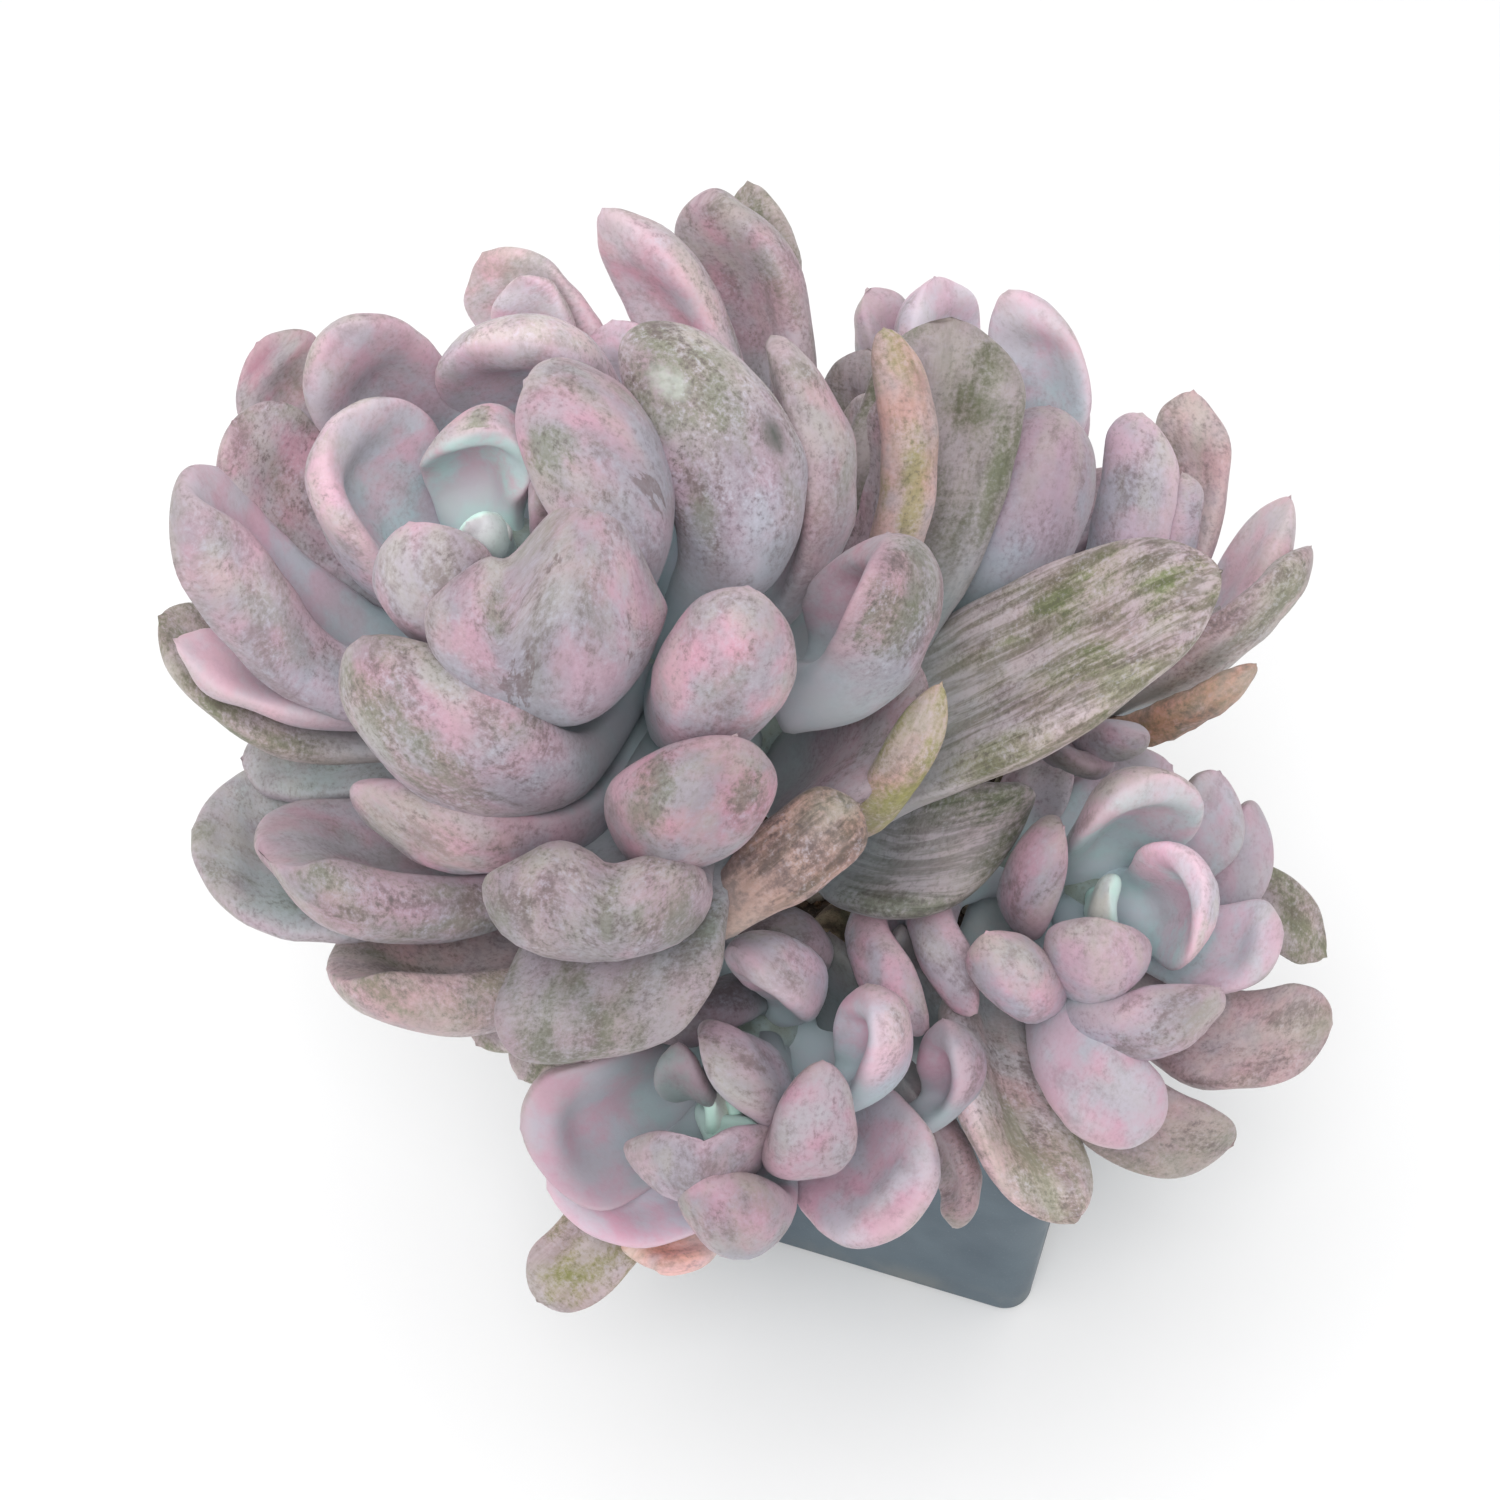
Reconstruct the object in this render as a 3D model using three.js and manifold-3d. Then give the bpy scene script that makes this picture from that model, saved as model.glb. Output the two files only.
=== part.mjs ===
// A clustering succulent with five rosettes of thick, spoon-shaped leaves on one
// branched stem, growing in a small square plastic pot that it overhangs.
// Millimetres, +Z up. The origin is the middle of the pot's underside.
import * as THREE from "three";
import { mergeVertices } from "three/addons/utils/BufferGeometryUtils.js";
import Module from "manifold-3d";

const wasm = await Module();
wasm.setup();

// Driving dimensions of the pot, the soil and the stems
const POT_HEIGHT = 85;
const POT_BASE = 74.5;
const POT_TOP = 80;
const POT_BASE_ROUND = 5.5;
const POT_TOP_ROUND = 9;
const POT_WALL = 2.6;
const POT_FLOOR = 3;
const POT_TURN = -18.6; // degrees about Z
const RIM_HEIGHT = 7;
const RIM_OUT = 1.1;
const DRAIN_RADIUS = 4;
const DRAIN_OFFSET = 17;
const SOIL_TOP = 76;
const SOIL_GAP = 0.35;
const STEM_HOLE_RADIUS = 8.2;
const STEM_HOLE_FLOOR = 58;
const TRUNK_RADIUS = 7.2;
const GAP = 0.35;

// The plant is laid out as it is seen from one standing point: u to the right,
// v upwards across the line of sight, w towards the viewer, all in mm from a
// middle point. A point w nearer the viewer is drawn in towards that line.
const VIEW_RISE = 50; // degrees above the horizon
const VIEW_REACH = 416.7;
const VIEW_MIDDLE = new THREE.Vector3(-30.5, -11, 131);
const RISE = THREE.MathUtils.degToRad(VIEW_RISE);
const RIGHT = new THREE.Vector3(1, 0, 0);
const UP = new THREE.Vector3(0, Math.sin(RISE), Math.cos(RISE));
const NEAR = new THREE.Vector3(0, -Math.cos(RISE), Math.sin(RISE));
const seen = (u, v, w) => {
  const k = 1 - w / VIEW_REACH;
  return VIEW_MIDDLE.clone()
    .addScaledVector(RIGHT, u * k)
    .addScaledVector(UP, v * k)
    .addScaledVector(NEAR, w);
};
const seenWay = (a) =>
  new THREE.Vector3()
    .addScaledVector(RIGHT, a[0])
    .addScaledVector(UP, a[1])
    .addScaledVector(NEAR, a[2])
    .normalize();

// Heads: heart and foot of the axis as seen, core radius, and how far down the
// axis the leafy core runs
const HEADS = {
  rosette_main: { heart: [-44, 36, 45], foot: [27, -20, -43], core: 9, leafy: 97 },
  rosette_right: { heart: [60, -25, -4], foot: [40, -20, -41], core: 6.2, leafy: 36 },
  rosette_front: { heart: [-6, -57, 10], foot: [16, -28, -33], core: 6.2, leafy: 38 },
  rosette_back: { heart: [40, 60, -12], foot: [30, -9, -52], core: 6.5, leafy: 38 },
  rosette_side: { heart: [58, 24, -26], foot: [42, -13, -47], core: 5.5, leafy: 29 },
};

// Leaves, heart outwards. Each row: tip u v w, belly u v w, level down the axis,
// width, thickness, cupping, and where needed "across", the way the blade is wide,
// or "turn", the side of the axis it leaves by.
const LEAVES = {
  rosette_main: [
    [-45.3, 38, 56, -44.7, 36.7, 52, 2, 7, 6, 0.1],
    [-41.7, 35.8, 54, -42.3, 35.3, 50, 3, 6, 5, 0.1],
    [-41.7, 56.3, 57, -44, 49.7, 46, 10, 20, 9, 0.35],
    [-35, 44.5, 56, -34.2, 40.8, 51, 12, 9, 6, 0.2],
    [-55.8, 37.2, 64, -52, 26.3, 58, 14, 20, 10, 0.25],
    [-36, 62.5, 62, -22.5, 46, 58, 20, 29, 11, 0.3],
    [-27.8, 39.3, 66, -32.5, 21.3, 64, 26, 36, 14, 0.25, { across: [1, 0.1, -0.2] }],
    [-70.8, 53.7, 52, -62.5, 43.3, 42, 20, 26, 10, 0.35],
    [-96, 46, 40, -82.3, 27.5, 38, 32, 27, 11, 0.3],
    [-86.5, 54, 32, -79.5, 45, 28, 30, 22, 10, 0.2],
    [-82.8, 69, 24, -77, 62, 20, 30, 20, 8, 0.2],
    [-69.5, 67.5, 38, -63, 62, 28, 28, 26, 10, 0.35],
    [-40, 73.5, 42, -35.5, 66, 30, 30, 31, 11, 0.3],
    [-44.3, 82.5, 14, -39.5, 73, 12, 40, 20, 8, 0.2],
    [-38.3, 79.5, 22, -36.7, 73, 18, 38, 15, 7, 0.2],
    [-23.7, 89.7, 26, -12.5, 76.7, 22, 44, 24, 11, 0.25],
    [-22, 71, 20, -19, 62, 20, 42, 19, 8, 0.2],
    [-7.3, 92.5, 16, -0.3, 79.5, 12, 50, 24, 11, 0.2],
    [-0.5, 94, 4, 3, 81.5, 2, 56, 18, 9, 0.2],
    [-19.2, 69.5, 52, -0.8, 48.3, 50, 36, 29, 13, 0.25],
    [3.3, 67.5, 40, 11.3, 46.3, 36, 46, 20, 11, 0.25],
    [23.3, 69.2, 26, 27, 51.7, 24, 64, 11, 9, 0.1],
    [21.7, 60.3, 16, 21.7, 46.7, 18, 60, 22, 9, 0.2],
    [40, 70.5, 10, 30, 54, 12, 66, 32, 11, 0.2],
    [20.5, 67.5, 4, 20, 56, 6, 66, 20, 8, 0.2],
    [24.2, 36.7, 50, 21.3, 19.7, 46, 56, 27, 13, 0.3],
    [-0.8, 26.3, 64, -4.7, 14.2, 60, 42, 22, 14, 0.2, { across: [1, -0.15, -0.2] }],
    [-2.5, 1, 63, -9.7, -8.3, 58, 50, 26, 15, 0.15, { across: [1, 0, -0.1] }],
    [-64.7, 18, 58, -50.8, 2, 56, 36, 27, 13, 0.3],
    [-65, -6.7, 44, -50, -11.7, 42, 44, 22, 11, 0.25],
    [-81.3, -14.7, 34, -64.2, -20.3, 32, 48, 32, 12, 0.3],
    [-92.5, -15, 12, -78.5, -19.5, 14, 54, 37, 9, 0.2],
    [-84, -2, 6, -74, -3, 8, 52, 15, 8, 0.2],
    [-98.7, 21, 24, -86.5, 11, 22, 42, 23, 9, 0.2],
    [-95, 16.5, 32, -84.2, 11.7, 30, 40, 16, 8, 0.2],
    [-70.8, -36.5, 24, -54, -39.2, 26, 56, 32, 11, 0.3],
    [-25.5, -19.7, 61, -24.7, -26.5, 56, 56, 34, 16, 0.15, { across: [1, 0, 0] }],
    [-26.5, -47, 42, -23.3, -39.2, 44, 62, 33, 13, 0.2, { across: [1, 0.12, 0] }],
    [-44.5, -49, 14, -39, -43.3, 14, 64, 18, 8, 0.2],
    [-37.5, -54.5, 4, -30.5, -47, 6, 66, 17, 8, 0.2],
    [77.5, 28.7, 16, 51.7, 14.2, 18, 84, 33, 12, 0.15],
    [47.5, -7.8, 5, 30, -18.7, 9, 90, 24, 10, 0.2],
    [-4.7, -26.3, 44, 10.3, -15, 38, 84, 16, 9, 0.15, { across: [-0.6, 0.8, 0] }],
    [32.3, 10.3, 40, 25.8, -2, 36, 84, 9, 8, 0.1],
    [29.2, 8.3, 28, 18.3, 0.3, 28, 74, 25, 10, 0.2],
  ],
  rosette_back: [
    [40.3, 62, 0, 40.3, 60.5, -4, 3, 8, 6, 0.1],
    [31, 78.5, -10, 31, 70, -16, 22, 27, 9, 0.3],
    [44.3, 76.5, -4, 48.7, 63, -10, 18, 24, 10, 0.35],
    [50, 57, 10, 45, 42, 8, 28, 25, 13, 0.25],
    [19.2, 76.3, -16, 22.3, 69, -20, 26, 16, 8, 0.2],
  ],
  rosette_side: [
    [63.5, 56.5, -10, 64, 45, -12, 14, 15, 10, 0.15],
    [74.5, 60, -26, 74.3, 47.5, -26, 24, 18, 9, 0.2],
    [72.5, 45.8, -14, 72.2, 39.7, -15, 16, 8, 7, 0.15],
    [91, 42, -26, 83.8, 33.3, -26, 24, 16, 9, 0.2],
    [94, 32.7, -14, 81.5, 20.3, -16, 20, 22, 9, 0.2],
    [84, 13.5, -6, 74.2, 7, -10, 22, 9, 7, 0.1],
    [65, 2, -2, 61.3, 2, -6, 22, 9, 8, 0.1],
    [56.5, -3.5, -6, 54.5, -1, -10, 24, 12, 7, 0.15],
  ],
  rosette_right: [
    [58, -22.5, 10, 58.7, -25, 6, 2, 9, 6, 0.1],
    [70.3, -2.7, 14, 64.7, -10.3, 8, 10, 21, 10, 0.35],
    [79, -4, 2, 77.2, -12, 0, 18, 15, 9, 0.25],
    [85, -9.5, -4, 83, -18.3, -4, 22, 14, 9, 0.25],
    [95.5, -32.5, -18, 89.5, -27.5, -18, 28, 16, 8, 0.15],
    [75.8, -20.3, 18, 72.5, -25.8, 8, 8, 21, 9, 0.4],
    [88.3, -31, 2, 82, -33.5, 0, 18, 16, 10, 0.2],
    [58, -29.3, 20, 58, -35.3, 14, 8, 18, 10, 0.25, { across: [1, -0.1, 0] }],
    [78, -40.3, 12, 66.3, -45.7, 10, 16, 15, 11, 0.25],
    [96.3, -45.8, -7, 85.3, -48, -6, 27, 20, 10, 0.2],
    [51.7, -13.2, 14, 47.5, -22, 8, 12, 15, 9, 0.3],
    [39.2, -30.8, 18, 43.7, -37.2, 14, 16, 15, 12, 0.2, { across: [1, 0.3, 0] }],
    [68.3, -60.3, 6, 57, -54.7, 8, 22, 17, 11, 0.25],
    [80, -65, -5, 66.5, -62.5, -1, 25, 18, 10, 0.2, { across: [0.8, 0.6, 0] }],
    [52.8, -77.5, -2, 44.8, -62, 2, 34, 21, 10, 0.2],
    [37.3, -43.3, 6, 32.5, -33.8, 4, 28, 11, 9, 0.15],
    [29.2, -46, 8, 22.5, -37.2, 6, 34, 12, 9, 0.15],
  ],
  rosette_front: [
    [-5.7, -54.5, 20, -6, -56, 16, 2, 7, 6, 0.1],
    [-37.8, -61.5, 14, -28, -62, 10, 18, 28, 9, 0.35],
    [-33.6, -74, 8, -21, -76.3, 8, 26, 19, 9, 0.3],
    [-8.7, -71.3, 26, -8.7, -67, 20, 10, 23, 9, 0.3, { across: [1, 0.1, 0] }],
    [-5.8, -71.7, 28, -2.5, -77.5, 22, 16, 19, 12, 0.2, { across: [1, 0, 0] }],
    [-11.7, -49.2, 24, -10.7, -55, 18, 5, 9, 6, 0.2],
    [-7.5, -48, 28, 0.3, -54.7, 20, 8, 17, 9, 0.25],
    [11.7, -52.3, 30, 10.3, -62.5, 26, 14, 14, 11, 0.2, { across: [1, 0, 0] }],
    [16.3, -40.5, 24, 20.3, -49.2, 18, 20, 15, 10, 0.2],
    [-1.7, -33, 22, 5.8, -38, 20, 22, 15, 12, 0.2],
    [-1.7, -30, 12, 4.2, -30.5, 10, 28, 14, 8, 0.2],
    [37.3, -48.5, 14, 33.5, -54, 8, 28, 13, 11, 0.2],
    [25, -81.5, 14, 20.3, -71.3, 14, 24, 23, 11, 0.3],
    [33.3, -78.5, 0, 34.2, -73.3, 2, 36, 8, 7, 0.1],
    [-18, -86.5, 0, -11, -85.5, 2, 30, 8, 7, 0.1],
    [-35.5, -92, -4, -28.3, -85.3, -2, 28, 16, 7, 0.2],
    [-15.8, -47.5, 14, -10, -45, 14, 22, 12, 8, 0.2],
  ],
};

// Leaves on the sides that face away from the viewer. Each row: turn about the
// axis, level, reach out from the axis, rise along it, width, thickness, cupping.
const FAR_LEAVES = {
  rosette_main: [
    [72, 62, 56, 12, 24, 10, 0.2],
    [104, 58, 58, 10, 25, 10, 0.2],
    [138, 60, 56, 6, 26, 10, 0.2],
    [168, 64, 54, 2, 24, 9, 0.2],
    [120, 74, 48, -4, 22, 9, 0.15],
    [88, 78, 44, -4, 20, 9, 0.15],
    [154, 78, 46, -6, 22, 9, 0.15],
    [190, 74, 48, -4, 24, 9, 0.2],
  ],
  rosette_back: [
    [60, 24, 30, 20, 22, 10, 0.25],
    [105, 26, 32, 18, 22, 10, 0.25],
    [20, 30, 32, 12, 20, 9, 0.2],
    [82, 36, 34, 8, 20, 9, 0.2],
    [150, 34, 28, 8, 16, 8, 0.2],
    [112, 38, 30, -2, 18, 9, 0.2],
    [52, 38, 30, 2, 17, 8, 0.2],
  ],
  rosette_side: [
    [80, 12, 16, 18, 12, 8, 0.2],
    [120, 22, 26, 14, 14, 8, 0.2],
    [50, 27, 30, 8, 14, 8, 0.2],
    [20, 10, 12, 16, 10, 7, 0.2],
  ],
  rosette_right: [
    [82, 30, 24, 3, 14, 8, 0.2],
    [35, 33, 34, 8, 16, 9, 0.2],
  ],
  rosette_front: [
    [200, 26, 32, 18, 16, 8, 0.2],
    [170, 30, 28, 14, 14, 8, 0.2],
    [140, 30, 28, 10, 14, 8, 0.2],
  ],
};

// Frame of a head: its axis, and two directions across it
function frameOf(head) {
  const heart = seen(...head.heart);
  const foot = seen(...head.foot);
  const axis = heart.clone().sub(foot).normalize();
  const e1 = RIGHT.clone().addScaledVector(axis, -RIGHT.dot(axis)).normalize();
  const e2 = axis.clone().cross(e1);
  const at = (level) => heart.clone().addScaledVector(axis, -level);
  const radial = (turn) => {
    const a = THREE.MathUtils.degToRad(turn);
    return e1.clone().multiplyScalar(Math.cos(a)).addScaledVector(e2, Math.sin(a));
  };
  const turnOf = (p, level) => {
    const q = p.clone().sub(at(level));
    return THREE.MathUtils.radToDeg(Math.atan2(q.dot(e2), q.dot(e1)));
  };
  return { heart, foot, axis, at, radial, turnOf, core: head.core };
}

const smooth = (x) => {
  const t = THREE.MathUtils.clamp(x, 0, 1);
  return t * t * (3 - 2 * t);
};
const rounded = (x, power) => Math.sign(x) * Math.abs(x) ** power;

// One leaf: a spine curved through its belly, a width that is narrow at the root,
// widest at the belly and blunt at the tip, and an oval section that is cupped
// towards the heart.
function leafSolid(head, tip, belly, level, width, thick, cup, options, rings, around, grow) {
  const turn = options.turn ?? head.turnOf(belly, level);
  const out = head.radial(turn);
  const root = head.at(level).addScaledVector(out, head.core * 0.45 * Math.min(1, (level + 4) / 12));
  const inner = belly.distanceTo(root);
  const outer = tip.distanceTo(belly);
  const share = THREE.MathUtils.clamp(inner / (inner + outer), 0.5, 0.78);
  const pull = belly
    .clone()
    .addScaledVector(root, -((1 - share) ** 2))
    .addScaledVector(tip, -share * share)
    .divideScalar(2 * share * (1 - share));
  let across = head.axis.clone().cross(out);
  if (options.across) {
    const way = seenWay(options.across);
    across = way.multiplyScalar(way.dot(across) < 0 ? -1 : 1);
  }
  const widest = THREE.MathUtils.clamp(share, 0.55, 0.74);
  const points = [root.clone()];
  const faces = [];
  for (let i = 0; i < rings; i++) {
    const t = Math.sin(((i / rings) * Math.PI) / 2) ** 0.9;
    const p = root
      .clone()
      .multiplyScalar((1 - t) ** 2)
      .addScaledVector(pull, 2 * t * (1 - t))
      .addScaledVector(tip, t * t);
    const along = pull
      .clone()
      .sub(root)
      .multiplyScalar(2 * (1 - t))
      .addScaledVector(tip.clone().sub(pull), 2 * t)
      .normalize();
    along.addScaledVector(across, -0.7 * along.dot(across)).normalize();
    const side = across.clone().addScaledVector(along, -across.dot(along)).normalize();
    const inward = along.clone().cross(side);
    const x = THREE.MathUtils.clamp((t - widest) / (1 - widest), 0, 1);
    const wide = t < widest ? 0.46 + 0.54 * smooth(t / widest) : (1 - x ** 2.6) ** (1 / 2.2);
    const y = THREE.MathUtils.clamp((t - 0.5) / 0.5, 0, 1);
    const deep = t < 0.5 ? 0.66 + 0.34 * smooth(t / 0.5) : Math.sqrt(1 - y ** 3.2);
    const shrink = i === 0 ? 0.9 : 1;
    const halfWidth = ((width * wide) / 2 + grow) * shrink;
    const halfThick = ((thick * deep) / 2 + grow) * shrink;
    for (let j = 0; j < around; j++) {
      const a = (2 * Math.PI * j) / around;
      const sx = rounded(Math.cos(a), 0.9);
      const sz = rounded(Math.sin(a), 0.9);
      const lift =
        sz * halfThick * (sz > 0 ? 0.85 : 1.15) +
        cup * smooth(t / 0.45) * width * 0.5 * ((sx * sx * halfWidth * halfWidth * 4) / (width * width) - 0.3);
      points.push(p.clone().addScaledVector(side, sx * halfWidth).addScaledVector(inward, lift));
    }
  }
  const end = tip.clone().addScaledVector(tip.clone().sub(pull).normalize(), grow);
  points.push(end);
  const last = points.length - 1;
  for (let j = 0; j < around; j++) {
    const k = (j + 1) % around;
    faces.push(0, 1 + j, 1 + k);
    for (let i = 0; i < rings - 1; i++) {
      const a = 1 + i * around;
      const b = a + around;
      faces.push(a + j, b + j, b + k, a + j, b + k, a + k);
    }
    const z = 1 + (rings - 1) * around;
    faces.push(z + j, last, z + k);
  }
  return solidFrom(points, faces);
}

// A closed solid from points and faces, turned the right way out
function solidFrom(points, faces) {
  const data = new Float32Array(points.length * 3);
  points.forEach((p, i) => data.set([p.x, p.y, p.z], i * 3));
  const build = (index) =>
    new wasm.Manifold(new wasm.Mesh({ numProp: 3, vertProperties: data, triVerts: new Uint32Array(index) }));
  const made = build(faces);
  if (made.volume() > 0) return made;
  const turned = [];
  for (let i = 0; i < faces.length; i += 3) turned.push(faces[i], faces[i + 2], faces[i + 1]);
  return build(turned);
}

// A closed solid from a geometry of three.js
function solidOf(geometry) {
  const plain = geometry.clone();
  plain.deleteAttribute("normal");
  plain.deleteAttribute("uv");
  const merged = mergeVertices(plain, 1e-4);
  return new wasm.Manifold(
    new wasm.Mesh({
      numProp: 3,
      vertProperties: merged.attributes.position.array,
      triVerts: new Uint32Array(merged.index.array),
    }),
  );
}

// A tube along a bent line, its radius given at each point
function stalk(points, radii, around) {
  const all = [points[0].clone()];
  const faces = [];
  const n = points.length;
  let side = null;
  for (let i = 0; i < n; i++) {
    const a = points[Math.max(0, i - 1)];
    const b = points[Math.min(n - 1, i + 1)];
    const along = b.clone().sub(a).normalize();
    side = side ?? new THREE.Vector3(0.3, 1, 0.1);
    side = side.clone().addScaledVector(along, -side.dot(along)).normalize();
    const other = along.clone().cross(side);
    for (let j = 0; j < around; j++) {
      const t = (2 * Math.PI * j) / around;
      all.push(
        points[i]
          .clone()
          .addScaledVector(side, radii[i] * Math.cos(t))
          .addScaledVector(other, radii[i] * Math.sin(t)),
      );
    }
  }
  all.push(points[n - 1].clone());
  const last = all.length - 1;
  for (let j = 0; j < around; j++) {
    const k = (j + 1) % around;
    faces.push(0, 1 + k, 1 + j);
    for (let i = 0; i < n - 1; i++) {
      const a = 1 + i * around;
      const b = a + around;
      faces.push(a + j, a + k, b + k, a + j, b + k, b + j);
    }
    const z = 1 + (n - 1) * around;
    faces.push(z + j, z + k, last);
  }
  return solidFrom(all, faces);
}

// Leaf rows of a head as tip, belly and sizes in the part's own frame
function rowsOf(name) {
  const head = frameOf(HEADS[name]);
  const near = LEAVES[name].map(([tu, tv, tw, bu, bv, bw, level, width, thick, cup, options = {}]) => ({
    tip: seen(tu, tv, tw),
    belly: seen(bu, bv, bw),
    level,
    width,
    thick,
    cup,
    options,
  }));
  const far = FAR_LEAVES[name].map(([turn, level, reach, rise, width, thick, cup]) => {
    const out = head.radial(turn);
    return {
      tip: head.at(level).addScaledVector(out, reach).addScaledVector(head.axis, rise),
      belly: head
        .at(level)
        .addScaledVector(out, reach * 0.7)
        .addScaledVector(head.axis, rise * 0.35),
      level,
      width,
      thick,
      cup,
      options: { turn },
    };
  });
  return { head, rows: [...near, ...far] };
}

function leafOf(head, row, grow) {
  const small = row.width < 13;
  return leafSolid(
    head,
    row.tip,
    row.belly,
    row.level,
    row.width,
    row.thick,
    row.cup,
    row.options,
    small ? 4 : 5,
    row.width < 17 ? 6 : 8,
    grow,
  );
}

// One head: a slim core with every leaf's root sunk into it
function headSolid(name) {
  const { head, rows } = rowsOf(name);
  const leafy = HEADS[name].leafy;
  const core = stalk(
    [head.at(0), head.at(6), head.at(leafy * 0.5), head.at(leafy)],
    [head.core * 0.35, head.core * 0.7, head.core * 0.95, head.core * 0.9],
    10,
  );
  return wasm.Manifold.union([core, ...rows.map((row) => leafOf(head, row, 0))]);
}

// The largest body of a solid, without loose scraps
function mainBody(solid) {
  return solid.decompose().reduce((best, body) => (body.volume() > best.volume() ? body : best));
}

// Heads in the order in which they keep their form: a later one makes way for
// the earlier ones where two leaves would meet.
const ORDER = ["rosette_main", "rosette_right", "rosette_front", "rosette_back", "rosette_side"];
const heads = {};
const grown = [];
for (const name of ORDER) {
  let solid = headSolid(name);
  for (const leaf of grown) {
    if (solid.intersect(leaf).volume() > 0) solid = solid.subtract(leaf);
  }
  heads[name] = mainBody(solid);
  const { head, rows } = rowsOf(name);
  for (const row of rows) grown.push(leafOf(head, row, GAP));
}

// The stem: a trunk that stands in the soil and a branch to each head
const up = (x, y, z) => new THREE.Vector3(x, y, z);
const trunkTop = up(0, 0, SOIL_TOP + 6);
function branchTo(name, start, radius) {
  const head = frameOf(HEADS[name]);
  const leafy = HEADS[name].leafy;
  const whole = head.heart.distanceTo(head.foot);
  const end = head.at(leafy + GAP + 0.1);
  const middle = head.at((leafy + whole) / 2 + 2);
  const r = head.core * 0.86;
  return stalk([start, middle, end], [radius, (radius + r) / 2, r], 10);
}
let stem = stalk(
  [up(0, 0, STEM_HOLE_FLOOR + 0.5), up(0, 0, 68), trunkTop, up(-1, -1, SOIL_TOP + 12)],
  [TRUNK_RADIUS * 0.85, TRUNK_RADIUS, TRUNK_RADIUS, TRUNK_RADIUS * 0.7],
  14,
);
for (const name of ORDER) {
  const radius = name === "rosette_main" ? 6.8 : 4.6;
  stem = stem.add(branchTo(name, up(0, 0, SOIL_TOP + 8), radius));
}
for (const leaf of grown) {
  if (stem.intersect(leaf).volume() > 0) stem = stem.subtract(leaf);
}
for (const name of ORDER) {
  const { head } = rowsOf(name);
  const leafy = HEADS[name].leafy;
  const sleeve = stalk(
    [head.at(-1), head.at(6), head.at(leafy * 0.5), head.at(leafy + GAP)],
    [head.core * 0.35 + GAP, head.core * 0.7 + GAP, head.core * 0.95 + GAP, head.core * 0.9 + GAP],
    10,
  );
  stem = stem.subtract(sleeve);
}
stem = mainBody(stem);

// Outline of a square with round corners
function roundedSquare(side, round, steps) {
  const h = side / 2 - round;
  const points = [];
  const corners = [
    [h, h, 0],
    [-h, h, 90],
    [-h, -h, 180],
    [h, -h, 270],
  ];
  for (const [cx, cy, start] of corners) {
    for (let i = 0; i <= steps; i++) {
      const a = THREE.MathUtils.degToRad(start + (90 * i) / steps);
      points.push([cx + round * Math.cos(a), cy + round * Math.sin(a)]);
    }
  }
  return points;
}

// A solid lofted through rounded squares stacked up the Z axis
function loft(layers, steps) {
  const rings = layers.map(([z, side, round]) => roundedSquare(side, round, steps).map(([x, y]) => up(x, y, z)));
  const m = rings[0].length;
  const all = [up(0, 0, layers[0][0]), ...rings.flat(), up(0, 0, layers[layers.length - 1][0])];
  const faces = [];
  const last = all.length - 1;
  for (let j = 0; j < m; j++) {
    const k = (j + 1) % m;
    faces.push(0, 1 + k, 1 + j);
    for (let i = 0; i < rings.length - 1; i++) {
      const a = 1 + i * m;
      const b = a + m;
      faces.push(a + j, a + k, b + k, a + j, b + k, b + j);
    }
    const z = 1 + (rings.length - 1) * m;
    faces.push(z + j, z + k, last);
  }
  return solidFrom(all, faces);
}

const CORNER_STEPS = 5;
const sideAt = (z) => POT_BASE + ((POT_TOP - POT_BASE) * z) / POT_HEIGHT;
const roundAt = (z) => POT_BASE_ROUND + ((POT_TOP_ROUND - POT_BASE_ROUND) * z) / POT_HEIGHT;
const rimFoot = POT_HEIGHT - RIM_HEIGHT;
const potOutside = loft(
  [
    [0, POT_BASE - 1.6, POT_BASE_ROUND - 0.6],
    [0.9, sideAt(0.9), roundAt(0.9)],
    [rimFoot - 1, sideAt(rimFoot - 1), roundAt(rimFoot - 1)],
    [rimFoot, sideAt(rimFoot) + 2 * RIM_OUT * 0.8, roundAt(rimFoot) + 0.8],
    [POT_HEIGHT - 1, POT_TOP + 2 * RIM_OUT, POT_TOP_ROUND + 1],
    [POT_HEIGHT, POT_TOP + 2 * RIM_OUT - 1.2, POT_TOP_ROUND + 0.6],
  ],
  CORNER_STEPS,
);
const potInside = loft(
  [
    [POT_FLOOR, sideAt(POT_FLOOR) - 2 * POT_WALL - 3, roundAt(POT_FLOOR) - 2],
    [POT_FLOOR + 2.5, sideAt(POT_FLOOR) - 2 * POT_WALL, roundAt(POT_FLOOR) - 1.5],
    [POT_HEIGHT + 1, POT_TOP - 2 * POT_WALL + 0.6, POT_TOP_ROUND - 1.5],
  ],
  CORNER_STEPS,
);
let pot = potOutside.subtract(potInside);
for (const [sx, sy] of [
  [1, 1],
  [-1, 1],
  [-1, -1],
  [1, -1],
]) {
  const drain = new THREE.CylinderGeometry(DRAIN_RADIUS, DRAIN_RADIUS, 3 * POT_FLOOR, 16);
  drain.rotateX(Math.PI / 2);
  drain.translate(sx * DRAIN_OFFSET, sy * DRAIN_OFFSET, POT_FLOOR / 2);
  pot = pot.subtract(solidOf(drain));
}

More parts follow.
